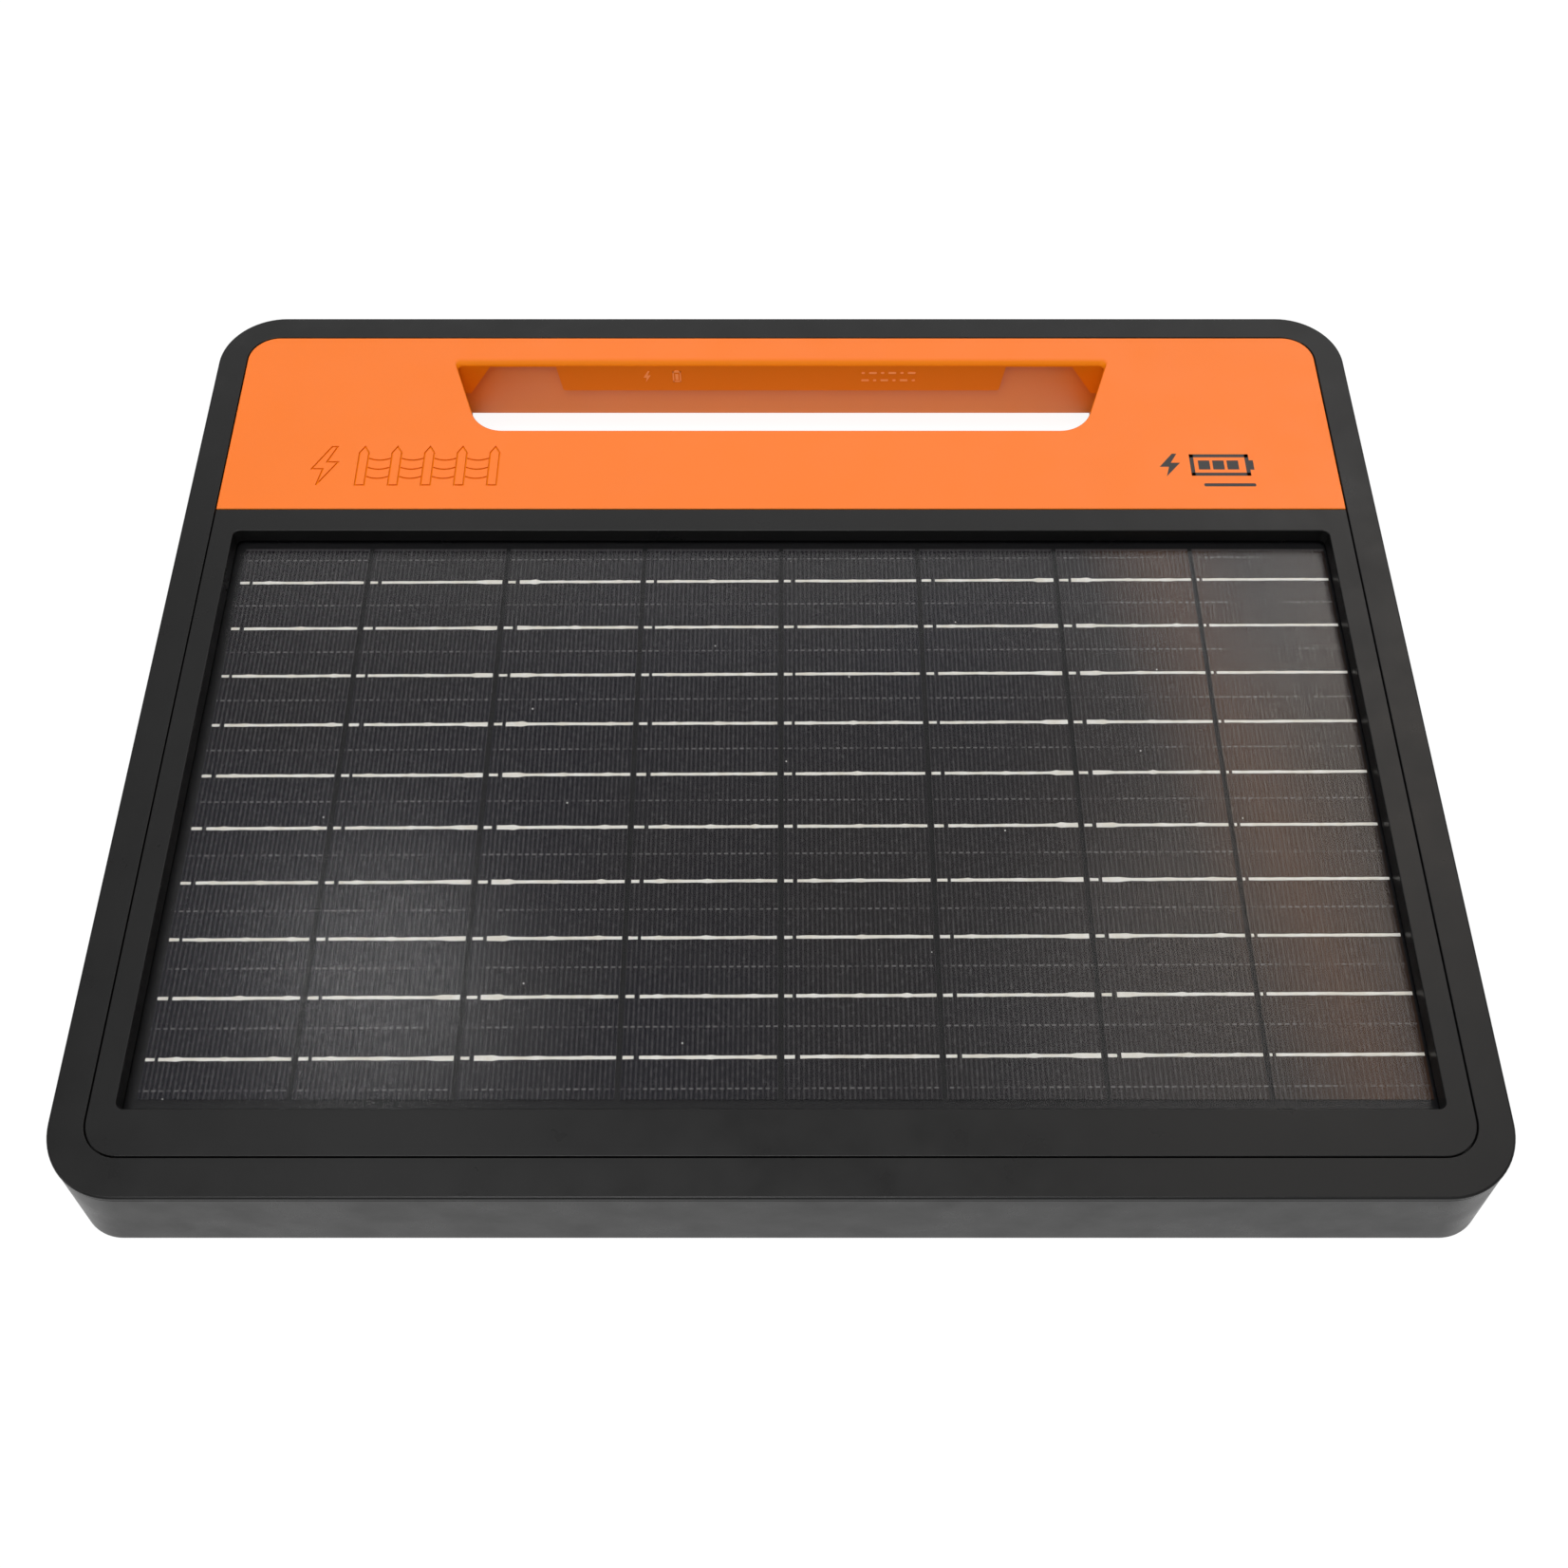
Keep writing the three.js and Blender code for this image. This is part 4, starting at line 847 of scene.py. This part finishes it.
def make_case_tub():
    tub = tub_body()
    lip_inset = PARTING_DEPTH - 0.1
    cut(
        tub,
        slab("cavity", lambda inset: case_outline(inset + CASE_WALL), CASE_WALL, TUB_TOP_Z + 5),
        slab("lip", lambda inset: case_outline(inset + lip_inset), TUB_TOP_Z, TUB_TOP_Z + 5),
    )
    grip_reach = grip_high.x + FACE_GAP
    arch_top = grip_low.z - FACE_GAP
    additions = [slab("collar", lambda inset: hole_outline(inset - CASE_WALL), 1, LINING_BOTTOM_Z - FACE_GAP)]
    for side in (-1, 1):
        x0, x1 = sorted((side * grip_reach, side * (grip_reach + CASE_WALL)))
        additions.append(plate_cutter("cheek", x0, x1, HOLE_FAR_Y + FACE_GAP, CASE_HALF_LENGTH - 1, 1, 14))
        x0, x1 = sorted((side * (CASE_HALF_WIDTH - 1), side * (BAY_INNER_X - CASE_WALL)))
        y0, y1 = BAY_NEAR_Y - CASE_WALL, BAY_FAR_Y + CASE_WALL
        additions.append(plate_cutter("bay_block", x0, x1, y0, y1, 1, BAY_CEILING_Z + CASE_WALL))
    additions += [keyhole_block(y) for y in KEYHOLE_ENTRY_YS]
    additions.append(post("button_boss", BUTTON.xy, BUTTON_DISH_R + 3, 1, 4.4, 48))
    additions.append(post("vent_boss", VENT.xy, VENT_R + 3, 1, 4.5, 32))
    additions += [post("boss", screw_centre(name), 4, 1, SCREW_BOSS_TOP_Z, 24) for name in SCREW_NAMES]
    join(tub, *additions)

    def arch(inset):
        half_width = grip_reach - inset
        near_y = HOLE_FAR_Y - 1 + inset
        radii = (2 - inset, 2 - inset, 0, 0)
        return rounded_rectangle(-half_width, half_width, near_y, CASE_HALF_LENGTH + 20, radii, 4)

    seat = plate_cutter("seat", -grip_reach, grip_reach, HOLE_FAR_Y - 1, CASE_HALF_LENGTH - CASE_WALL, -1, 14)
    removals = [
        upturned(well("hole", hole_outline, -LINING_BOTTOM_Z - 1, 0, 1.5), 0),
        upturned(well("arch", arch, -arch_top, 0, 1.5), 0),
        seat,
        bay_cutter(-1),
        bay_cutter(1),
        round_well("button_dish", BUTTON.xy, BUTTON_DISH_R, BUTTON_DISH_DEPTH, 0.8, 48),
        post("button_hole", BUTTON.xy, BUTTON_R + 0.4, -1, 6, 48),
        round_well("vent_dish", VENT.xy, VENT_R + 0.8, 1.5, 0.5),
        post("vent_hole", VENT.xy, 2.9, -1, 6, 24),
    ]
    for y in KEYHOLE_ENTRY_YS:
        removals += keyhole_cutters(y)
    for name in SCREW_NAMES:
        centre = screw_centre(name)
        removals.append(round_well("screw_well", centre, SCREW_HEAD_R + 0.3, SCREW_RECESS_DEPTH, 0.4, 24))
        removals.append(post("screw_hole", centre, 2.05, -1, 26, 16))
    removals += back_relief()
    cut(tub, *removals)
    finish_piece(tub, "case_wall", replaces=["rear_housing"])


def back_relief():
    """Shallow moulded relief in the back: a blank label panel and a field of cooling grooves."""
    def label(inset):
        half_width = LABEL_HALF_WIDTH
        return inset_rectangle(-half_width, half_width, RELIEF_NEAR_Y, LABEL_FAR_Y, LABEL_CORNER_R, inset, 6)

    cutters = [upturned(well("label", label, -0.5, 0, 0.3), 0)]
    for index in range(GROOVE_COUNT):
        for side in (-1, 1):
            x = side * (FIRST_GROOVE_X + GROOVE_PITCH * index)

            def groove(inset, x0=x - GROOVE_HALF_WIDTH, x1=x + GROOVE_HALF_WIDTH):
                return inset_rectangle(x0, x1, RELIEF_NEAR_Y, GROOVE_FAR_Y, GROOVE_HALF_WIDTH, inset, 4)

            cutters.append(upturned(well("groove", groove, -0.8, 0, 0.4, 3), 0))
    return cutters


def make_rim():
    round_over = 0.75
    loops = [
        at_height(case_outline(PARTING_DEPTH), RIM_UNDER_Z),
        at_height(case_outline(PARTING_DEPTH), PARTING_Z),
        at_height(case_outline(0.06), PARTING_Z),
        at_height(case_outline(0), PARTING_Z + 0.06),
    ]
    steps = 6
    for step in range(steps + 1):
        turn = math.pi / 2 * step / steps
        z = FRONT_Z - round_over * (1 - math.sin(turn))
        loops.append(at_height(case_outline(round_over * (1 - math.cos(turn))), z))
    rim = loft("case_rim", loops)
    cut(rim, well("opening", face_outline, RIM_UNDER_Z - 1, FRONT_Z, 0.25))
    skirt_inset = CASE_WALL + FACE_GAP
    skirt = slab("skirt", lambda inset: case_outline(inset + skirt_inset), rim_low.z, RIM_UNDER_Z + 0.5)
    cut(skirt, slab("skirt_hole", face_outline, rim_low.z - 1, RIM_UNDER_Z + 1))
    ledge = slab("ledge", lambda inset: face_outline(inset - 1), rim_low.z, 31.3)
    cut(ledge, slab("ledge_hole", lambda inset: face_outline(inset + 2.5), rim_low.z - 1, 33))
    join(rim, skirt, ledge)
    finish_piece(rim, "case_black", replaces=["front_rim"])


# ---------- panel bezel
def make_bezel():
    bezel = slab("bezel", bezel_outline, PLATE_Z, FRONT_Z, 0.25)
    wall_bottom = glass_high.z + 0.3
    window_wall = slab("window_wall", lambda inset: window_outline(inset - 2), wall_bottom, PLATE_Z + 0.5)
    join(bezel, window_wall, *screw_posts(-1))
    cut(bezel, well("window", window_outline, 0, FRONT_Z, 0.35))
    finish_piece(bezel, "case_black", replaces=["panel_bezel"])


# ---------- handle
def upright_plate(name, profile, y0, y1):
    """A plate drawn in X and Z, between two distances."""
    return loft(name, [[(x, y1, z) for x, z in profile], [(x, y0, z) for x, z in profile]])


def hole_cutter_with_lip():
    """The hand hole through the cover: sharp near and side edges, a soft roll into the far wall."""
    edge = 0.3
    loops = [at_height(hole_outline(0), 0), at_height(hole_outline(0), FRONT_Z - LIP_ROUND_Z)]
    steps = 8
    for step in range(1, steps + 1):
        turn = math.pi / 2 * step / steps
        z = FRONT_Z - LIP_ROUND_Z * (1 - math.sin(turn))
        flare = edge * max(0, 1 - (FRONT_Z - z) / edge)
        far_shift = LIP_ROUND_Y * (1 - math.cos(turn)) - flare
        loops.append(at_height(hole_outline(-flare, far_shift), z))
    loops.append(at_height(hole_outline(-edge, LIP_ROUND_Y - edge), FRONT_Z + 1))
    return loft("hole", loops)


def make_handle_cover():
    cover = slab("handle_shell", cover_outline, PLATE_Z, FRONT_Z, 0.25)
    lining = slab("lining", lambda inset: hole_outline(inset - LINING), LINING_BOTTOM_Z, PLATE_Z + 0.5)
    cut(lining, plate_cutter("behind", -200, 200, HOLE_FAR_Y - 0.01, 160, 0, PLATE_Z))
    join(cover, lining, *screw_posts(1))
    lip_x = HOLE_FAR_HALF_WIDTH - 0.1
    cut(
        cover,
        plate_cutter("relief", -lip_x, lip_x, HOLE_FAR_Y - 1, 135.3, 0, FRONT_Z - LIP_ROUND_Z),
        hole_cutter_with_lip(),
    )
    top = FRONT_Z - LIP_ROUND_Z + 0.5
    tab_profile = [
        (-TAB_HALF_WIDTH, top),
        *arc((-TAB_HALF_WIDTH + TAB_TAPER + 1, TAB_BOTTOM_Z + 1), 1, 195, 270, 4),
        *arc((TAB_HALF_WIDTH - TAB_TAPER - 1, TAB_BOTTOM_Z + 1), 1, 270, 345, 4),
        (TAB_HALF_WIDTH, top),
    ]
    tab = upright_plate("tab", tab_profile, HOLE_FAR_Y, HOLE_FAR_Y + TAB_THICKNESS)
    gussets = []
    for side in (-1, 1):
        profile = [
            (side * (HOLE_FAR_HALF_WIDTH + 1), top),
            (side * (HOLE_FAR_HALF_WIDTH - 1), FRONT_Z - GUSSET_DEPTH),
            (side * (HOLE_FAR_HALF_WIDTH - 3), FRONT_Z - GUSSET_DEPTH),
            (side * (HOLE_FAR_HALF_WIDTH + 1 - GUSSET_WIDTH), top),
        ]
        if side < 0:
            profile.reverse()
        gussets.append(upright_plate("gusset", profile[::-1], HOLE_FAR_Y, HOLE_FAR_Y + TAB_THICKNESS))
    join(cover, tab, *gussets)
    cut(cover, *emblem_cutters(), *[face_mark(shape, MARK_DEPTH) for shape in face_mark_shapes()])
    finish_piece(cover, "case_orange", replaces=["handle_cover"])


def make_grip_back():
    """The inner wall of the grip and its back: one curved shell, in a darker orange that is painted shade."""
    wall = 2.0
    outer_r = 1.2
    inner_r = 0.4
    near_y, far_y = grip_low.y, grip_high.y
    low_z, high_z = grip_low.z, grip_high.z
    bend = (near_y + outer_r, low_z + outer_r)
    profile = [(near_y, high_z)]
    profile += arc(bend, outer_r, 180, 270, 10)
    profile += arc((far_y - 1, low_z + 1), 1, 270, 360, 4)
    profile += [(far_y, low_z + wall)]
    profile += arc((near_y + wall + inner_r, low_z + wall + inner_r), inner_r, 270, 180, 8)
    profile += [(near_y + wall, high_z)]
    half_width = grip_high.x
    shell = loft("grip_back", [[(x, y, z) for y, z in profile] for x in (-half_width, half_width)])
    finish_piece(shell, "orange_grip_shade", replaces=["handle_rear_cover"])


def bolt_outline(x, y, width, height):
    """A lightning bolt, centred."""
    shape = [(0.15, 0.5), (-0.45, -0.08), (-0.05, -0.08), (-0.2, -0.5), (0.45, 0.1), (0.05, 0.1), (0.35, 0.5)]
    return [(x + across * width, y + along * height) for across, along in shape]


def bar_outline(x0, x1, y0, y1, radius=0.3):
    return rounded_rectangle(x0, x1, y0, y1, (radius,) * 4, 4)


def battery_shapes(x0, x1, y0, y1, wall, bars):
    """Outlines of a battery pictogram that lies along X: a frame of four walls, a nub and its bars."""
    nub = (y1 - y0) * 0.22
    middle = (y0 + y1) / 2
    shapes = [
        bar_outline(x0, x1, y0, y0 + wall, 0.1),
        bar_outline(x0, x1, y1 - wall, y1, 0.1),
        bar_outline(x0, x0 + wall, y0, y1, 0.1),
        bar_outline(x1 - wall, x1, y0, y1, 0.1),
        bar_outline(x1, x1 + wall, middle - nub, middle + nub, 0.1),
    ]
    inner_x0, inner_x1 = x0 + 2 * wall, x1 - 2 * wall
    pitch = (inner_x1 - inner_x0) / bars
    for index in range(bars):
        left = inner_x0 + pitch * index
        shapes.append(bar_outline(left, left + pitch - wall * 0.7, y0 + 2 * wall, y1 - 2 * wall, 0.1))
    return shapes


def stroke(points, width):
    """The outline of a line of some width through several points, with mitred bends."""
    left, right = [], []
    last = len(points) - 1
    for index, point in enumerate(points):
        here = Vector(point)
        before = (here - Vector(points[index - 1])).normalized() if index > 0 else None
        after = (Vector(points[index + 1]) - here).normalized() if index < last else None
        direction = ((before or after) + (after or before)).normalized()
        reach = width / 2 / max(direction.dot(after or before), 0.5)
        side = Vector((-direction.y, direction.x)) * reach
        left.append(tuple(here + side))
        right.append(tuple(here - side))
    return right + left[::-1]


def closed_strokes(points, width):
    """A closed line as two open ones that overlap at their ends."""
    half = len(points) // 2
    return [stroke(points[: half + 1], width), stroke(points[half:] + points[:2], width)]


def emblem_cutters():
    """A plain emblem engraved in thin lines at the left: a bolt, then stakes with sagging wires."""
    line = 0.55
    depth = 0.5
    left, right, near, far = -152.0, -88.0, 79.0, 95.0
    shapes = closed_strokes(bolt_outline(left + 6, (near + far) / 2, 9, far - near), line)
    stake_xs = [left + 18 + index * 10.5 for index in range(5)]
    stake_half = 1.5
    for x in stake_xs:
        stake = [
            (x - stake_half, near),
            (x + stake_half, near),
            (x + stake_half, far - 2.5),
            (x, far),
            (x - stake_half, far - 2.5),
        ]
        shapes += closed_strokes(stake, line)
    reach = stake_half + line / 2
    for first, second in zip(stake_xs, stake_xs[1:]):
        x0, x1 = first + reach, second - reach
        for y in (near + 3.5, near + 7.3, near + 11.1):
            wire = []
            for step in range(7):
                share = step / 6
                wire.append((x0 + (x1 - x0) * share, y - 3.2 * share * (1 - share)))
            shapes.append(stroke(wire, line))
    return [face_mark(shape, depth) for shape in shapes]


def face_mark(outline, depth):
    """A cutter that sinks a flat shape into the face."""
    return loft("mark", [at_height(outline, FRONT_Z - depth), at_height(outline, FRONT_Z + 1)])


def face_mark_shapes():
    """Flat shapes at the right of the face: a bolt and a battery, over a short bar."""
    shapes = [bolt_outline(124.5, 87.3, 7.5, 9.5)]
    shapes += battery_shapes(131, 150, 82.8, 91.8, 1.3, 3)
    shapes.append(bar_outline(134.5, 151.0, 78.4, 79.7, 0.5))
    return shapes


def make_face_marks():
    """Dark inlays that fill the pockets of the face marks, almost flush."""
    floor_z = FRONT_Z - MARK_DEPTH + 0.02
    top_z = FRONT_Z - 0.03
    parts = []
    for shape in face_mark_shapes():
        parts.append(loft("inlay", [at_height(shape, floor_z), at_height(shape, top_z)]))
    finish_piece(merge("face_marks", parts), "mark")


def tab_shape(outline):
    """A flat shape on the tab's face, drawn in X and Z."""
    face_y = HOLE_FAR_Y
    loops = [[(x, face_y + 0.3, z) for x, z in outline], [(x, face_y - 0.12, z) for x, z in outline]]
    return loft("symbol", loops)


def make_tab_symbols():
    """Pale symbols on the tab: a bolt and a battery at the left, rows of dots and dashes at the right."""
    z = (TAB_BOTTOM_Z + FRONT_Z) / 2 + 0.3
    shapes = [bolt_outline(-45, z, 2.6, 5)]
    shapes += [
        [(x, z + (y + 35)) for y, x in outline]
        for outline in battery_shapes(-37.4, -32.6, -36.4, -33.6, 0.45, 1)
    ]
    for row, row_z in enumerate((z + 1.7, z - 1.7)):
        x = 27.0
        for index in range(6):
            length = 2.6 if (index + row) % 2 else 1.1
            shapes.append(bar_outline(x, x + length, row_z - 0.4, row_z + 0.4, 0.35))
            x += length + 1.4
    parts = [tab_shape(shape) for shape in shapes]
    finish_piece(merge("tab_symbols", parts), "orange_pale")


def merge(name, parts):
    """Puts several separate solids into one object."""
    points, faces = [], []
    for part in parts:
        offset = len(points)
        points += [vertex.co / MM for vertex in part.data.vertices]
        faces += [tuple(offset + index for index in polygon.vertices) for polygon in part.data.polygons]
        bpy.data.objects.remove(part)
    return mesh_object(name, points, faces)


# ---------- solar panel details
def ribbon_strip(x0, x1, y, z, blobs, wide_span, generator):
    """Points and faces of one tinned ribbon: a thin strip that wanders a little, with solder blobs.

    Within wide_span it is doubled, where a joining strip lies beside it."""
    points, faces = [], []
    length = x1 - x0
    steps = max(2, round(length / 1.6))
    wander = 0.0
    for step in range(steps + 1):
        x = x0 + length * step / steps
        wander = 0.8 * wander + generator.uniform(-0.03, 0.03)
        swell = sum(math.exp(-(((x - blob) / 0.7) ** 2)) for blob in blobs)
        wide = 0.25 if wide_span and wide_span[0] <= x <= wide_span[1] else 0
        half = RIBBON_WIDTH / 2 + 0.05 * generator.uniform(-1, 1) + 0.14 * swell + wide
        height = RIBBON_THICKNESS + 0.04 * swell
        lift = 0.15 * swell
        for dy, dz in ((-half, 0), (half + lift, 0), (half * 0.7 + lift, height), (-half * 0.7, height)):
            points.append((x, y + PANEL_SKEW * x + wander + dy, z + dz))
    for step in range(steps):
        base = 4 * step
        for corner in range(4):
            following = (corner + 1) % 4
            faces.append((base + corner, base + 4 + corner, base + 4 + following, base + following))
    faces.append((0, 1, 2, 3))
    last = 4 * steps
    faces.append((last + 3, last + 2, last + 1, last))
    return points, faces


def make_ribbons():
    generator = random.Random(7)
    for index, name in enumerate(CELL_NAMES):
        low, high = node_box(name)
        z = high.z + 0.03
        points, faces = [], []
        last_column = index == len(CELL_NAMES) - 1
        for row in range(BUSBAR_COUNT):
            y = low.y + FIRST_BUSBAR + row * BUSBAR_PITCH
            stub_end = low.x + 2.7 + generator.uniform(-0.4, 0.5)
            run_start = stub_end + generator.uniform(0.9, 1.5)
            if last_column:
                stub_end = low.x + 0.9
                run_start = stub_end + 1.0
            spans = [(low.x + 0.2, stub_end), (run_start, high.x - generator.uniform(0.1, 0.5))]
            for x0, x1 in spans:
                blobs = []
                wide_span = None
                if index in JOINED_AT_END:
                    wide_span = (high.x - 5.5, high.x)
                if index in JOINED_AT_START:
                    wide_span = (low.x + 3.4, low.x + 9)
                if x1 - x0 > 10 and not last_column:
                    blobs = [x0 + 5 + 13 * count + generator.uniform(-1, 1) for count in range(3)]
                strip_points, strip_faces = ribbon_strip(x0, x1, y, z, blobs, wide_span, generator)
                offset = len(points)
                points += strip_points
                faces += [tuple(offset + corner for corner in face) for face in strip_faces]
        ribbons = mesh_object(f"busbar_ribbons_{index + 1}", points, faces)
        finish_piece(ribbons, "ribbon", sharp=60)


# ---------- screws, terminals, button and vent
def threaded_rod(name, radius, length, pitch, depth, around=20, rows_per_pitch=5):
    """A rod along +Z with a helical thread and a plain chamfered tip."""
    rows = max(4, round(length / pitch * rows_per_pitch))
    loops = []
    for row in range(rows + 1):
        z = length * row / rows
        taper = min(1.0, (length - z) / (1.5 * depth + 0.01) + 0.45)
        loop = []
        for step in range(around):
            turn = step / around
            wave = abs(((z / pitch - turn) % 1.0) * 2 - 1)
            r = radius - depth * wave - (1 - taper) * depth
            loop.append((r * math.cos(2 * math.pi * turn), r * math.sin(2 * math.pi * turn), z))
        loops.append(loop)
    return loft(name, loops)


def place(obj, centre, axis=(0, 0, 1)):
    """Turns a piece made along +Z to lie along an axis, and moves its origin there."""
    turn = Vector((0, 0, 1)).rotation_difference(Vector(axis)).to_matrix().to_4x4()
    obj.data.transform(Matrix.Translation(Vector(centre) * MM) @ turn)
    return obj


def cross_cutter(depth, reach, half_width):
    """Two crossing tapered slots, open at z = 0 and running up."""
    cutters = []
    for along in (True, False):
        loops = []
        for z, shrink in ((-1, 0.0), (0, 0.0), (depth, 0.35)):
            long_side, short_side = reach - shrink * 2, half_width - shrink
            x, y = (long_side, short_side) if along else (short_side, long_side)
            loops.append([(-x, -y, z), (x, -y, z), (x, y, z), (-x, y, z)])
        cutters.append(loft("cross", loops))
    return cutters


def make_screw(name):
    low, high = node_box(name)
    head_height = 2.4
    head = slab("screw_head", disc(SCREW_HEAD_R, 28), 0, head_height, 0.1, 0.8)
    cut(head, *cross_cutter(1.3, 2.0, 0.62))
    shank_start = head_height - 0.3
    shank = threaded_rod("shank", 1.75, high.z - low.z - shank_start, 1.4, 0.4, 14, 4)
    place(shank, (0, 0, shank_start))
    screw = merge(f"{name}_detail", [head, shank])
    x, y = screw_centre(name)
    place(screw, (x, y, low.z))
    finish_piece(screw, "zinc_steel", replaces=[name])


def lobed_outline(inset):
    """The grip section of a knob: eight rounded lobes for the fingers."""
    points = []
    steps = KNOB_LOBES * 10
    for step in range(steps):
        angle = 2 * math.pi * step / steps
        radius = KNOB_R - KNOB_LOBE_DEPTH * (1 - math.cos(KNOB_LOBES * angle)) / 2 - inset
        points.append((radius * math.cos(angle), radius * math.sin(angle)))
    return points


def make_terminal(name, side, material):
    """One terminal: knob and washer that move, and the stud that is fixed in the case."""
    knob_low, knob_high = node_box(f"{name}_terminal_knob")
    centre_y = (knob_low.y + knob_high.y) / 2
    centre_z = (knob_low.z + knob_high.z) / 2
    axis = (side, 0, 0)

    def start_of(node):
        low, high = node_box(node)
        near_x = min(abs(low.x), abs(high.x))
        return (side * near_x, centre_y, centre_z), high.x - low.x

    start, length = start_of(f"{name}_terminal_knob")
    knob = slab("knob", lobed_outline, KNOB_COLLAR, length, 1.3, 0.6)
    collar = slab("collar", disc(KNOB_R - 2, 40), 0, KNOB_COLLAR + 0.5, 0, 0.3)
    join(knob, collar)
    bore = well("bore", disc(STUD_R + 0.3, 24), -KNOB_BORE, 0, 0.4)
    cap_dish = well("cap_dish", disc(5.2, 40), length - 0.5, length, 0.3)
    cut(knob, upturned(bore, 0), cap_dish)
    place(knob, start, axis)
    finish_piece(knob, material, body=f"{name}_knob", replaces=[f"{name}_terminal_knob"])
    knob.name = f"{name}_knob_detail"

    start, length = start_of(f"{name}_clamp_washer")
    washer = slab("washer", disc(STUD_FLANGE_R, 40), 0, length, 0.3, 0.3, 3)
    cut(washer, post("bore", (0, 0), STUD_R + 0.3, -1, length + 1, 24))
    place(washer, start, axis)
    finish_piece(washer, "zinc_steel", body=f"{name}_clamp", replaces=[f"{name}_clamp_washer"])
    washer.name = f"{name}_washer_detail"

    start, length = start_of(f"{name}_terminal_stud")
    rod = threaded_rod("rod", STUD_R, length, 1.0, 0.3, 20, 5)
    flange_z = BAY_INNER_X + 0.3 - abs(start[0])
    flange = slab("flange", disc(STUD_FLANGE_R, 40), flange_z, flange_z + 2, 0.3, 0.3, 3)
    stud = merge(f"{name}_stud_detail", [rod, flange])
    place(stud, start, axis)
    finish_piece(stud, "zinc_steel", replaces=[f"{name}_terminal_stud"])


def make_button():
    """The rubber power button: a soft cap with a moulded ring and bar, its flange and its stem."""
    low, high = node_box("power_button")
    face_z = low.z
    flange_z = 4.7
    cap = slab("cap", disc(BUTTON_R, 48), face_z, flange_z + 0.5, 0, 1.0, 6)
    flange = slab("flange", disc(8.6, 48), flange_z, flange_z + 1.4, 0.2, 0.2, 2)
    stem = slab("stem", disc(2.4, 24), flange_z + 1, high.z, 0.4, 0, 3)
    join(cap, flange, stem)
    groove_depth = 0.35
    ring = post("ring", (0, 0), 3.6, -1, face_z + groove_depth, 40)
    cut(ring, post("core", (0, 0), 2.9, -2, 2, 40), plate_cutter("break", -1.1, 1.1, 0, 5, -2, 2))
    bar = plate_cutter("bar", -0.4, 0.4, 0.9, 4.3, -1, face_z + groove_depth, 0.3)
    cut(cap, ring, bar)
    cap.name = "power_button_detail"
    place(cap, BUTTON)
    finish_piece(cap, "rubber", body="power_button", replaces=["power_button"])


def make_vent():
    """The breather plug: a domed cap with radial slots, and its stem."""
    low, high = node_box("pressure_vent")
    cap_top = 1.2
    cap = slab("vent_cap", disc(VENT_R, 36), low.z, cap_top, 0.1, 0.5, 4)
    slots = []
    for index in range(6):
        slot = plate_cutter("slot", 2.6, VENT_R + 1, -0.45, 0.45, -1, low.z + 0.45)
        slot.data.transform(Matrix.Rotation(math.radians(60 * index), 4, "Z"))
        slots.append(slot)
    cut(cap, *slots)
    join(cap, post("stem", (0, 0), 2.6, cap_top - 0.3, high.z, 24))
    cap.name = "pressure_vent_detail"
    place(cap, VENT)
    finish_piece(cap, "rubber", replaces=["pressure_vent"])


# ---------- assembly
def build():
    paint_cad_nodes()
    make_case_tub()
    make_rim()
    make_bezel()
    make_handle_cover()
    make_grip_back()
    make_ribbons()
    make_face_marks()
    make_tab_symbols()
    for name in SCREW_NAMES:
        make_screw(name)
    make_terminal("fence", -1, "red_plastic")
    make_terminal("earth", 1, "green_plastic")
    make_button()
    make_vent()


make_camera()
make_floor()
light_scene()
build()
